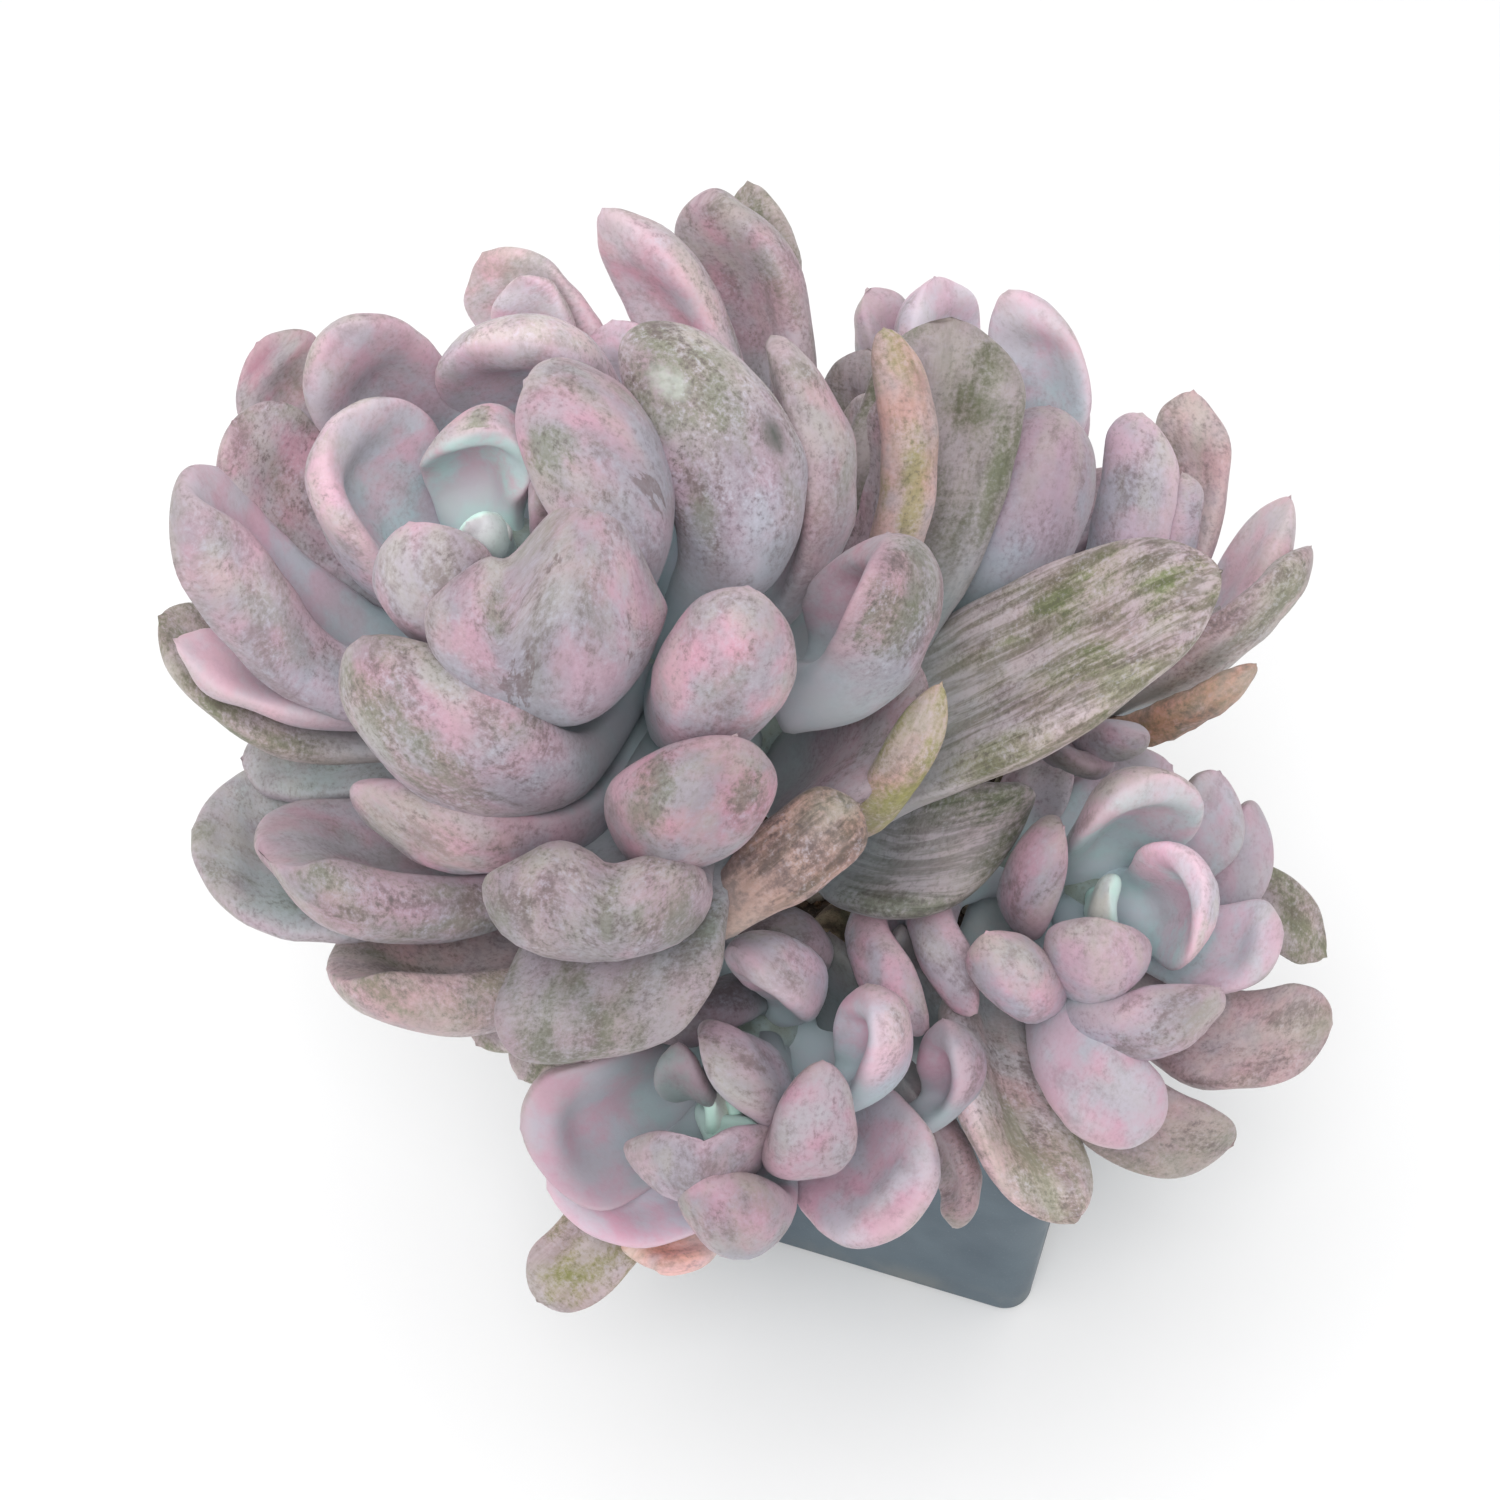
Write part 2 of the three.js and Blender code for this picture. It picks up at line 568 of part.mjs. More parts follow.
// The soil fills the pot to a little under its rim, with an uneven top and a
// plain hole for the trunk
function soilTop(x, y) {
  return (
    SOIL_TOP +
    0.9 * Math.sin(0.21 * x + 0.6) * Math.cos(0.17 * y - 0.4) +
    0.5 * Math.sin(0.43 * y + 0.31 * x + 1.1) -
    0.0012 * (x * x + y * y)
  );
}
function soilSolid() {
  const bottom = POT_FLOOR + SOIL_GAP;
  const innerSide = (z) => {
    const t = (z - POT_FLOOR - 2.5) / (POT_HEIGHT + 1 - POT_FLOOR - 2.5);
    const low = sideAt(POT_FLOOR) - 2 * POT_WALL;
    const high = POT_TOP - 2 * POT_WALL + 0.6;
    return low + (high - low) * t;
  };
  const block = [
    [bottom, innerSide(POT_FLOOR + 2.5) - 3 - 2 * SOIL_GAP, 4.2],
    [POT_FLOOR + 2.5 + SOIL_GAP, innerSide(POT_FLOOR + 2.5) - 2 * SOIL_GAP, 5],
    [SOIL_TOP - 2.5, innerSide(SOIL_TOP - 2.5) - 2 * SOIL_GAP, 7],
  ];
  const rings = block.map(([z, side, round]) => roundedSquare(side, round, CORNER_STEPS).map(([x, y]) => up(x, y, z)));
  const rim = rings[rings.length - 1];
  for (const share of [0.985, 0.72, 0.4]) {
    rings.push(rim.map((p) => up(p.x * share, p.y * share, soilTop(p.x * share, p.y * share))));
  }
  const m = rim.length;
  const all = [up(0, 0, bottom), ...rings.flat(), up(0, 0, soilTop(0, 0))];
  const faces = [];
  const last = all.length - 1;
  for (let j = 0; j < m; j++) {
    const k = (j + 1) % m;
    faces.push(0, 1 + k, 1 + j);
    for (let i = 0; i < rings.length - 1; i++) {
      const a = 1 + i * m;
      const b = a + m;
      faces.push(a + j, a + k, b + k, a + j, b + k, b + j);
    }
    const z = 1 + (rings.length - 1) * m;
    faces.push(z + j, z + k, last);
  }
  return solidFrom(all, faces);
}
const hole = new THREE.CylinderGeometry(STEM_HOLE_RADIUS, STEM_HOLE_RADIUS, 40, 20);
hole.rotateX(Math.PI / 2);
hole.translate(0, 0, STEM_HOLE_FLOOR + 20);
const soil = soilSolid().subtract(solidOf(hole));

// The meshes, each with its own material
function meshOf(name, solid, colour, roughness) {
  const m = solid.getMesh();
  const n = m.numProp;
  const data = new Float32Array(m.numVert * 3);
  for (let i = 0; i < m.numVert; i++) data.set(m.vertProperties.subarray(i * n, i * n + 3), i * 3);
  const geometry = new THREE.BufferGeometry();
  geometry.setAttribute("position", new THREE.BufferAttribute(data, 3));
  geometry.setIndex(new THREE.BufferAttribute(m.triVerts, 1));
  geometry.computeVertexNormals();
  const material = new THREE.MeshStandardMaterial({ color: colour, roughness, metalness: 0 });
  const mesh = new THREE.Mesh(geometry, material);
  mesh.name = name;
  return mesh;
}

const plant = new THREE.Group();
plant.add(meshOf("rosette_main", heads.rosette_main, "#bfaeb8", 0.62));
plant.add(meshOf("rosette_right", heads.rosette_right, "#c3b0bd", 0.6));
plant.add(meshOf("rosette_front", heads.rosette_front, "#c2b0bf", 0.6));
plant.add(meshOf("rosette_back", heads.rosette_back, "#b9b1ba", 0.62));
plant.add(meshOf("rosette_side", heads.rosette_side, "#b7a9a6", 0.62));
plant.add(meshOf("stem", stem, "#8d7f66", 0.85));

const container = new THREE.Group();
container.rotation.z = THREE.MathUtils.degToRad(POT_TURN);
container.add(meshOf("pot", pot, "#5f6e7d", 0.5));
container.add(meshOf("soil", soil, "#3c332c", 0.95));

const plantInPot = new THREE.Group();
plantInPot.add(container);
plantInPot.add(plant);

export default plantInPot;
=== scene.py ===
# %% [markdown]
# # A clustering succulent in a small square pot
# The plant is five rosettes of thick, powdery, spoon-shaped leaves on one branched
# stem. The pot is slate-blue plastic and nearly hidden. The lesson first loads the
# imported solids, then grows every leaf as its own curved surface in the same place,
# and gives all of them one shared powdery skin that each leaf wears in its own way.

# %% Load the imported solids
import math

import bpy
import numpy as np
from mathutils import Euler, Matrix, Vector


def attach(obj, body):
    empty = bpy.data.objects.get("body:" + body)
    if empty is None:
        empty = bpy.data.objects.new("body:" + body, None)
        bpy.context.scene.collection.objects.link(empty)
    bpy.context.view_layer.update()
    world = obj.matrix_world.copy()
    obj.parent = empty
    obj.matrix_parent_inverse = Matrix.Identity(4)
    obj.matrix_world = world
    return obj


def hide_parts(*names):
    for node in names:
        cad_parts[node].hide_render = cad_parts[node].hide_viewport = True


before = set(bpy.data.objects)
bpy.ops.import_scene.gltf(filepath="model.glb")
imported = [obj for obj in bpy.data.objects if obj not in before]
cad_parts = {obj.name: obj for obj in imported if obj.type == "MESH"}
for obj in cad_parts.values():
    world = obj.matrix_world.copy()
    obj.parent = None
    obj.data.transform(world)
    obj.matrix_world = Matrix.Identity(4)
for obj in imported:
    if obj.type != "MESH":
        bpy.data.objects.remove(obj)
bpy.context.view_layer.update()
MM = 0.001
print("solids:", sorted(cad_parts))

# %% [markdown]
# ## The standing point
# The photograph looks down on the plant by 50 degrees through a long lens. The
# leaves are laid out from that standing point: u to the right, v upwards across the
# line of sight and w towards the viewer. One function turns such a place into the
# plant's own millimetres, and the camera is put at the same standing point.

# %% Camera and the layout function
VIEW_RISE = math.radians(50)
VIEW_REACH = 416.7
VIEW_MIDDLE = np.array([-30.5, -11.0, 131.0])
LENS = 60
RIGHT = np.array([1.0, 0.0, 0.0])
UP = np.array([0.0, math.sin(VIEW_RISE), math.cos(VIEW_RISE)])
NEAR = np.array([0.0, -math.cos(VIEW_RISE), math.sin(VIEW_RISE)])


def seen(u, v, w):
    """The place that is seen at u, v and lies w nearer than the middle of the view."""
    k = 1 - w / VIEW_REACH
    return VIEW_MIDDLE + RIGHT * u * k + UP * v * k + NEAR * w


def seen_way(a):
    """A direction given to the right, upwards and towards the viewer."""
    return unit(RIGHT * a[0] + UP * a[1] + NEAR * a[2])


def unit(a):
    a = np.asarray(a, float)
    return a / np.maximum(np.linalg.norm(a, axis=-1, keepdims=True), 1e-9)


def smooth(x):
    """A soft step from 0 to 1."""
    x = np.clip(x, 0, 1)
    return x * x * (3 - 2 * x)


def add_camera():
    data = bpy.data.cameras.new("camera")
    data.lens = LENS
    data.sensor_width = 36
    data.clip_start = 0.02
    data.clip_end = 20
    camera = bpy.data.objects.new("camera", data)
    camera.location = (VIEW_MIDDLE + NEAR * VIEW_REACH) * MM
    camera.rotation_euler = Euler((math.pi / 2 - VIEW_RISE, 0, 0))
    bpy.context.scene.collection.objects.link(camera)
    bpy.context.scene.camera = camera
    return camera


camera = add_camera()
print("camera at", [round(x, 3) for x in camera.location])

# %% [markdown]
# ## The table of leaves
# Real leaves follow a spiral only roughly, so that a spiral formula would put few of
# them where the photograph has them. Every leaf that it shows has a row of its own:
# its look, where its tip is seen, where its belly is seen, how far down the axis it
# grows, and its width, thickness and cupping. The last entry holds what is special
# about it, such as a point, a notch or a wavy rim. Leaves on the far sides, which
# nobody sees here, are placed round the axis instead.

# %% Heads and their leaves
# A head: where its heart and its foot are, how thick its core is, how far down it has
# leaves, and how far its leaves are rubbed
HEADS = {
    "rosette_main": {"heart": (-44, 36, 45), "foot": (27, -20, -43), "core": 9, "leafy": 97, "rub": 1.0},
    "rosette_right": {"heart": (60, -25, -4), "foot": (40, -20, -41), "core": 6.2, "leafy": 36, "rub": 0.7},
    "rosette_front": {"heart": (-6, -57, 10), "foot": (16, -28, -33), "core": 6.2, "leafy": 38, "rub": 0.75},
    "rosette_back": {"heart": (40, 60, -12), "foot": (30, -9, -52), "core": 6.5, "leafy": 38, "rub": 0.6},
    "rosette_side": {"heart": (58, 24, -26), "foot": (42, -13, -47), "core": 5.5, "leafy": 29, "rub": 0.65},
}

# A leaf: look, tip, belly, level, width, thickness, cupping, what is special. In the last,
# a lobe is (across, breadth, push), a curl is (side, degrees, start), and a mark is
# (kind, along, across, face, length, breadth), where the outer face is -1
# A leaf's tone in what is special is partly its own and partly painted light: leaves in shade are set
# lighter, well lit ones darker
LEAVES = {
    "rosette_main": [
        ["bud", (-46.2, 37, 60), (-44.3, 35.3, 55), 2, 8, 6.5, 0.1, {"point": 1.2, "tone": 1.0}],
        ["bud", (-42, 35.6, 57), (-42.5, 34.4, 53), 3, 6.5, 5, 0.1, {"tone": 1.0}],
        ["bowl", (-42.8, 55.2, 57), (-44.3, 47.5, 46), 10, 20, 9, 0.45,
         {"hood": 2.5, "hollow": 0.4, "wave": 0.5, "base": 0.75, "root": (-44, 32.5, 38), "tone": 0.4,
          "blush": 0.9, "mint": 0.5, "marks": [("olive", 0.97, 0.1, -1, 0.08, 0.3)]}],
        ["lilac", (-35, 44.5, 56), (-34.2, 40.8, 51), 12, 9, 6, 0.2, {}],
        ["lilac", (-57, 36.8, 64), (-52.3, 26.3, 58), 14, 20, 10, 0.25, {"tone": 0.3}],
        ["lilac", (-36.5, 61.5, 62), (-22.3, 45.8, 58), 20, 29.5, 11, 0.3,
         {"lobes": [(-0.5, 0.3, 1.5)],
          "marks": [("scuff", 0.6, -0.35, -1, 0.13, 0.13), ("olive", 0.86, -0.6, -1, 0.1, 0.25)]}],
        ["lilac", (-28.3, 39.3, 66), (-33, 21.3, 64), 26, 34, 14, 0.25,
         {"across": (1, 0.1, -0.2),
          "lobes": [(0.1, 0.4, 3.0), (-0.42, 0.17, -5), (0.8, 0.3, -3), (-0.75, 0.3, -3)],
          "marks": [("scuff", 0.6, -0.34, -1, 0.13, 0.2), ("scuff", 0.68, 0.6, -1, 0.16, 0.06),
                    ("olive", 0.82, -0.5, -1, 0.1, 0.2), ("scuff", 0.84, -0.12, -1, 0.03, 0.04)],
          "tone": -0.1}],
        ["lilac", (-73, 53, 52), (-64.8, 42.6, 42), 20, 27.5, 11, 0.4,
         {"hood": 4, "hollow": 0.4, "curl": [(1, 30, 0.05)], "tone": 0.5, "pale": 0.8}],
        ["lilac", (-95, 45.3, 40), (-83.3, 25.6, 38), 32, 25.5, 12, 0.25,
         {"curl": [(1, 90, 0.05)], "both": 0.1}],
        ["mauve", (-86.5, 54, 32), (-79.5, 45, 28), 30, 22, 10, 0.2, {}],
        ["faded", (-82.3, 67, 24), (-77.5, 60.5, 20), 30, 18, 8, 0.2, {"point": 1, "tone": -0.1}],
        ["lilac", (-72.5, 74.2, 40), (-62.6, 62, 28), 28, 21.5, 11, 0.3,
         {"hood": 7, "hollow": 0.25, "tone": 0.3}],
        ["lilac", (-42, 78.5, 42), (-35.2, 66.5, 30), 30, 29, 12, 0.25,
         {"hood": 10, "hollow": 0.2, "tone": 0.7}],
        ["faded", (-43, 82, 14), (-36, 73, 12), 40, 20, 8, 0.2, {"point": 1.2, "tone": 0.6}],
        ["lilac", (-38, 78.5, 22), (-36, 72, 18), 38, 14, 7, 0.2, {"point": 1, "tone": 0.7}],
        ["mauve", (-22.6, 89.2, 26), (-12.9, 75.7, 22), 44, 17, 11, 0.2,
         {"point": 1.5, "both": 0.3, "tone": 0.5}],
        ["lilac", (-22, 71, 20), (-19, 62, 20), 42, 19, 8, 0.2, {"tone": 0.6}],
        ["mauve", (-7.3, 92.2, 16), (-0.5, 79.5, 12), 50, 23, 12, 0.15, {"ridge": 1.5, "tone": -0.2}],
        ["olive", (0.5, 93, 4), (2, 80.5, 2), 56, 16, 8, 0.2, {"point": 1.4}],
        ["grey", (-19, 70, 52), (-2.2, 46.5, 50), 36, 22, 13, 0.25,
         {"across": (0.9, 0.45, -0.3), "tone": 0.2,
          "marks": [("hole", 0.67, 0.47, -1, 0.045, 0.15), ("olive", 0.84, -0.2, -1, 0.17, 1.0),
                    ("bare", 0.86, -0.36, -1, 0.06, 0.25)]}],
        ["mauve", (5.5, 66.4, 40), (10.3, 45.5, 36), 46, 17.5, 11, 0.25, {"point": 2.2}],
        ["finger", (22.6, 69.4, 28), (26.6, 50, 26), 64, 9, 9, 0,
         {"across": (1, 0.1, 0), "blunt": 4, "base": 0.85, "hollow": 0, "point": 0.6, "lumps": 0.8,
          "tone": -0.1,
          "marks": [("olive", 0.66, -0.1, 1, 0.2, 0.6)]}],
        ["mauve", (21.7, 58.8, 13), (21.7, 45.5, 14), 60, 22, 9, 0.2, {}],
        ["olive", (33.5, 70.3, 12), (29.8, 48, 12), 70, 27.5, 11, 0.15,
         {"across": (1, -0.05, 0.1), "base": 1.0, "blunt": 3.0, "groove": 0.9, "point": 1, "tone": -0.4,
          "blush": 0.1, "rubbed": 0.4}],
        ["olive", (20.5, 66, 4), (20, 55, 6), 66, 20, 8, 0.2, {"tone": -0.4}],
        ["grey", (22.6, 35.6, 50), (19.7, 22, 46), 56, 24.5, 16, 0.6,
         {"across": (-0.27, 0, -0.96), "root": (3.5, 8.5, 34), "hollow": 0.3, "blunt": 3, "both": 0.1,
          "blush": 0.8,
          "point": 0.2, "marks": [("olive", 0.66, -0.9, -1, 0.2, 0.3)], "tone": -0.2}],
        ["blush", (-0.3, 26.3, 64), (-3.5, 14.6, 60), 42, 19.3, 14, 0.2,
         {"across": (1, -0.15, -0.2), "blush": 0.8}],
        ["blush", (-3, 0.8, 63), (-9.2, -8, 58), 50, 22.6, 15, 0.15,
         {"across": (1, 0, -0.1), "point": 1,
          "marks": [("olive", 0.84, -0.7, -1, 0.14, 0.3), ("olive", 0.9, 0.4, -1, 0.08, 0.25)],
          "tone": -0.3}],
        ["grey", (-64.7, 18, 58), (-50.8, 2, 56), 36, 27, 13, 0.3, {"blush": 0.6, "tone": -0.1}],
        ["lilac", (-65.5, -6.9, 44), (-50, -12.6, 42), 44, 23, 12, 0.25, {"blush": 0.9, "tone": -0.2}],
        ["lilac", (-81.5, -18.5, 34), (-64.6, -22, 32), 48, 36, 12, 0.25,
         {"wave": 1.2, "lumps": 1.4, "curl": [(1, 85, 0.4)], "blunt": 4.5, "rubbed": 0.9, "olive": 0.6,
          "tone": -0.3}],
        ["teal", (-92.5, -15, 12), (-78.5, -19.5, 14), 54, 36, 9, 0.2, {"wave": 0.8, "tone": -0.2}],
        ["teal", (-84, -2, 6), (-74, -3, 8), 52, 15, 8, 0.2, {}],
        ["olive", (-98.2, 20.6, 24), (-86.3, 11.5, 22), 42, 22, 9, 0.2, {"point": 1}],
        ["cream", (-94.5, 16.8, 32), (-83.3, 12, 30), 40, 15, 8, 0.2, {"point": 1.5, "tone": 0.3}],
        ["tan", (-70, -38, 24), (-54, -39.8, 26), 56, 33, 11, 0.25,
         {"wave": 0.8, "lumps": 1.5, "curl": [(1, 75, 0.35)], "blunt": 4.5, "olive": 0.7}],
        ["grey", (-26.3, -18.7, 61), (-25.8, -25.6, 56), 56, 33.5, 15, 0.15,
         {"across": (1, 0, 0), "lumps": 1.3,
          "lobes": [(0.75, 0.3, 2.5), (0.15, 0.2, -1.5), (-0.3, 0.3, 2)], "tone": -0.3}],
        ["grey", (-26.5, -50, 42), (-23.6, -41, 44), 62, 33, 13, 0.15,
         {"across": (1, 0.3, 0), "lumps": 1.4, "ridge": 0.6, "pale": 0.8, "blush": 0.25, "rubbed": 0.7,
          "olive": 0.8, "tone": -0.6}],
        ["olive", (-44.5, -49, 14), (-39, -43.3, 14), 64, 18, 8, 0.2, {}],
        ["olive", (-37.5, -54.5, 4), (-30.5, -47, 6), 66, 17, 8, 0.2, {}],
        ["striped", (77, 28.2, 16), (51, 15.2, 18), 84, 32.6, 12, 0.12,
         {"ridge": 0.6, "base": 1.0, "blunt": 2.0, "point": 1.2,
          "marks": [("olive", 0.5, -0.95, 1, 0.16, 0.3), ("olive", 0.78, -0.75, 1, 0.1, 0.3)]}],
        ["dark", (45.8, -9.4, 5), (27.4, -18, 9), 90, 22.5, 10, 0.2,
         {"base": 0.8, "rubbed": 0.45, "marks": [("olive", 0.6, -0.85, 1, 0.25, 0.3)], "tone": -0.5}],
        ["dry", (17.4, -9.5, 41), (9, -16, 42), 84, 13.6, 10, 0.1,
         {"root": (-6.5, -28, 36), "across": (-0.6, 0.8, 0), "base": 0.65, "blunt": 3.4, "hollow": 0,
          "pleats": 0.4, "tone": -0.2}],
        ["finger", (31.2, 9.6, 40), (25.2, -2.6, 36), 84, 8, 8, 0,
         {"across": (0.85, -0.5, 0), "blunt": 4, "base": 0.8, "hollow": 0, "point": 1.4}],
        ["mauve", (29.2, 8.3, 28), (18.3, 0.3, 28), 74, 25, 10, 0.2, {"tone": -0.6}],
    ],
    "rosette_back": [
        ["bud", (40.3, 62, 0), (40.3, 60.5, -4), 3, 8, 6, 0.1, {}],
        ["lilac", (30, 77.7, -10), (30, 69, -16), 22, 21.5, 9, 0.3, {"point": 1.2, "tone": 0.7}],
        ["lilac", (44, 75.6, -2), (49, 60.5, -8), 18, 17.4, 10, 0.35,
         {"across": (1, -0.15, 0.3), "flip": True, "hollow": 0.25, "point": 1, "pale": 0.5, "blush": 0.9,
          "tone": 0.6}],
        ["lilac", (50, 57, 3), (44, 38.5, 3), 28, 26, 13, 0.25,
         {"base": 0.8, "blunt": 1.9, "root": (35.5, 17, -12), "tone": -0.2}],
        ["lilac", (19.2, 76.3, -16), (22.3, 69, -20), 26, 16, 8, 0.2, {"tone": 0.2}],
    ],
    "rosette_side": [
        ["lilac", (65, 55.4, -10), (64.3, 44.5, -12), 14, 15, 10, 0.15, {"blunt": 3.4, "tone": 0.3}],
        ["tan", (74.3, 58.6, -26), (73.8, 46.5, -26), 24, 16, 9, 0.2, {"point": 1, "tone": 0.2}],
        ["lilac", (72.5, 45.8, -14), (72.2, 39.7, -15), 16, 8, 7, 0.15, {"tone": 0.3}],
        ["faded", (90.2, 41, -26), (84.6, 30.5, -26), 24, 15.5, 9, 0.2,
         {"point": 1, "hollow": 0.1, "tone": 0.4}],
        ["olive", (93.8, 32.8, -14), (81.6, 22.2, -16), 20, 23.5, 9, 0.2,
         {"blush": 0.8, "olive": 0.6, "base": 0.75, "hollow": 0.15, "tone": 0.2}],
        ["orange", (84, 13.6, -6), (74.2, 7.7, -10), 22, 7.8, 7, 0.1, {"pleats": 0.2}],
        ["lilac", (65, 2, -2), (61.3, 2, -6), 22, 9, 8, 0.1, {}],
        ["lilac", (56.5, -3.5, -6), (54.5, -1, -10), 24, 12, 7, 0.15, {"tone": -0.5}],
    ],
    "rosette_right": [
        ["bud", (59.3, -23.6, 11), (59.6, -26.3, 6), 2, 9.5, 6, 0.1, {"tone": 0.6}],
        ["lilac", (66.5, -1.2, 15), (63.5, -9.3, 8), 10, 21, 10, 0.35,
         {"across": (1, 0, -0.3), "hood": 5, "hollow": 0.4, "pale": 0.9, "mint": 0.2, "tone": 0.3}],
        ["lilac", (78, -4.2, 2), (76, -12, 0), 18, 14, 9, 0.3, {"pale": 0.8}],
        ["lilac", (84, -9.8, -4), (82, -18.3, -4), 22, 13, 9, 0.25, {"tone": -0.3}],
        ["olive", (94.8, -33, -18), (88.2, -27, -18), 28, 13, 8, 0.15, {"point": 1.4, "tone": 0.1}],
        ["lilac", (75, -19.8, 18), (71.4, -25.4, 8), 8, 20, 9, 0.45,
         {"hollow": 0.5, "pale": 0.8, "mint": 0.1, "blush": 0.9, "tone": 0.7}],
        ["lilac", (88.3, -31, 2), (82, -33.3, 0), 18, 16, 10, 0.25, {"pale": 0.8, "tone": 0.2}],
        ["lilac", (58, -29, 20), (58, -34.8, 14), 8, 17.5, 10, 0.25,
         {"across": (1, -0.1, 0), "pale": 0.9, "tone": 0.1}],
        ["lilac", (78, -40.3, 12), (66.3, -45.4, 10), 16, 15, 11, 0.25, {"pale": 0.7, "tone": -0.2}],
        ["tan", (96, -46, -7), (85.3, -48.6, -6), 27, 20, 10, 0.15, {"lumps": 1.3, "tone": -0.1}],
        ["lilac", (51.7, -13.2, 14), (47.5, -22, 8), 12, 15, 9, 0.3, {"blush": 1.0, "tone": -0.3}],
        ["blush", (39.8, -31, 18), (43.6, -36.9, 14), 16, 12.6, 12, 0.2,
         {"across": (1, 0.3, 0), "pale": 0.6}],
        ["lilac", (67.8, -61.5, 8), (59.5, -57.2, 10), 22, 16.8, 12, 0.12,
         {"across": (0.45, 0.85, -0.25), "base": 0.3, "hollow": 0.1, "blush": 0.9, "tone": -0.1}],
        ["tan", (79.6, -65.5, -5), (66.5, -63, -1), 25, 16.5, 10, 0.2,
         {"across": (0.8, 0.6, 0), "tone": -0.3}],
        ["olive", (51.8, -78, -2), (43.2, -61.5, 2), 34, 22.5, 10, 0.2,
         {"groove": 1.2, "blush": 0.9, "olive": 0.5, "base": 0.4, "tone": 0.3}],
        ["blush", (37.3, -43.3, 6), (32.5, -33.8, 4), 28, 11, 9, 0.15, {"tone": 0.3}],
        ["blush", (29.2, -46, 8), (22.5, -37.2, 6), 34, 12, 9, 0.15, {"tone": 0.3}],
    ],
    "rosette_front": [
        ["bud", (-5.5, -59, 20), (-5.8, -61, 16), 2, 7, 6, 0.1, {"tone": 0.5}],
        ["bud", (-1.5, -58.6, 19), (-3.2, -60.4, 15), 3, 6, 5, 0.1, {"tone": 0.4}],
        ["bud", (1.5, -63.6, 22), (-4, -64.2, 19), 5, 7, 5, 0.1,
         {"across": (0, 1, -0.3), "root": (-8, -60, 12)}],
        ["pale", (-37.8, -62, 14), (-28, -62, 10), 18, 27, 9, 0.4,
         {"wave": 0.8, "hollow": 0.5, "hood": 3, "pale": 0.5, "blush": 0.8, "tone": -0.2}],
        ["pale", (-33, -73.3, 5), (-21, -74.6, 4), 26, 19, 9, 0.3,
         {"blush": 0.9, "pale": 0.4, "tone": 0.2}],
        ["lilac", (-8.7, -65.2, 30), (-8.7, -68.6, 24), 10, 23, 9, 0.35,
         {"across": (1, 0.1, 0), "pale": 1.0,
          "lobes": [(-0.5, 0.3, 1.5), (0.5, 0.3, 1.0), (0.1, 0.2, -1.5)], "tone": -0.2}],
        ["blush", (-5.8, -71.7, 28), (-2.8, -77, 22), 16, 17.5, 12, 0.2,
         {"across": (1, 0, 0), "tone": -0.3}],
        ["lilac", (-11.7, -49.2, 24), (-10.3, -57, 18), 5, 10, 6, 0.2,
         {"pale": 1.0, "mint": 0.3, "tone": -0.6}],
        ["lilac", (-7.5, -48, 28), (0.3, -54.7, 20), 8, 17, 9, 0.25,
         {"blush": 0.5, "pale": 0.9, "tone": -0.2}],
        ["blush", (12, -52.3, 30), (10, -65, 26), 14, 13.6, 12, 0.1,
         {"across": (1, 0, 0), "hollow": 0, "tone": -0.3}],
        ["blush", (20.2, -39.6, 26), (20.4, -47.5, 24), 20, 15, 11, 0.25,
         {"across": (0.35, 0, 0.93), "flip": True, "hollow": 0.35, "blunt": 3, "both": 0.1, "pale": 0.5,
          "root": (12, -58, 12), "tone": 0.3}],
        ["lilac", (-1.9, -32.6, 22), (3.4, -36.6, 20), 22, 12.6, 12, 0.2, {"tone": 0.2}],
        ["mauve", (-1.7, -30, 12), (4.2, -30.5, 10), 28, 14, 8, 0.2, {"tone": -0.9}],
        ["blush", (32.8, -45.3, 14), (33.6, -53, 12), 28, 13, 9, 0.25,
         {"across": (0.4, 0, 0.9), "flip": True, "hollow": 0.35, "blunt": 3, "both": 0.1,
          "root": (27, -62, 2), "tone": -0.2}],
        ["blush", (28.8, -79.5, 18), (20.8, -70.8, 10), 24, 25, 11, 0.25,
         {"across": (0.7, 0.7, 0), "hood": 5, "both": 0.2, "rubbed": 0.9, "tone": -0.1}],
        ["tan", (34.4, -79, 0), (35.2, -73.3, 2), 36, 8, 7, 0.1, {"tone": -0.6}],
        ["orange", (-20.2, -82.2, 0), (-11.5, -83.4, 2), 30, 9, 7, 0.1,
         {"root": (-5, -78, -3), "dried": 0.4, "blush": 1.0, "olive": 0.1, "tone": 0.7}],
        ["finger", (-34.8, -91.2, -4), (-28, -84.6, -2), 28, 14.5, 7, 0.2,
         {"olive": 1.0, "dried": 0.0, "blush": 0.15, "tone": -0.1}],
        ["lilac", (-15.8, -47.5, 14), (-10, -45, 14), 22, 12, 8, 0.2, {"tone": -1}],
        ["teal", (13, -31, 2), (15, -40, 0), 26, 15, 7, 0.2, {"root": (14, -52, -8), "tone": -1.2}],
        ["teal", (25, -30, -2), (27, -38, -4), 30, 15, 7, 0.2, {"root": (26, -50, -12), "tone": -0.8}],
    ],
}

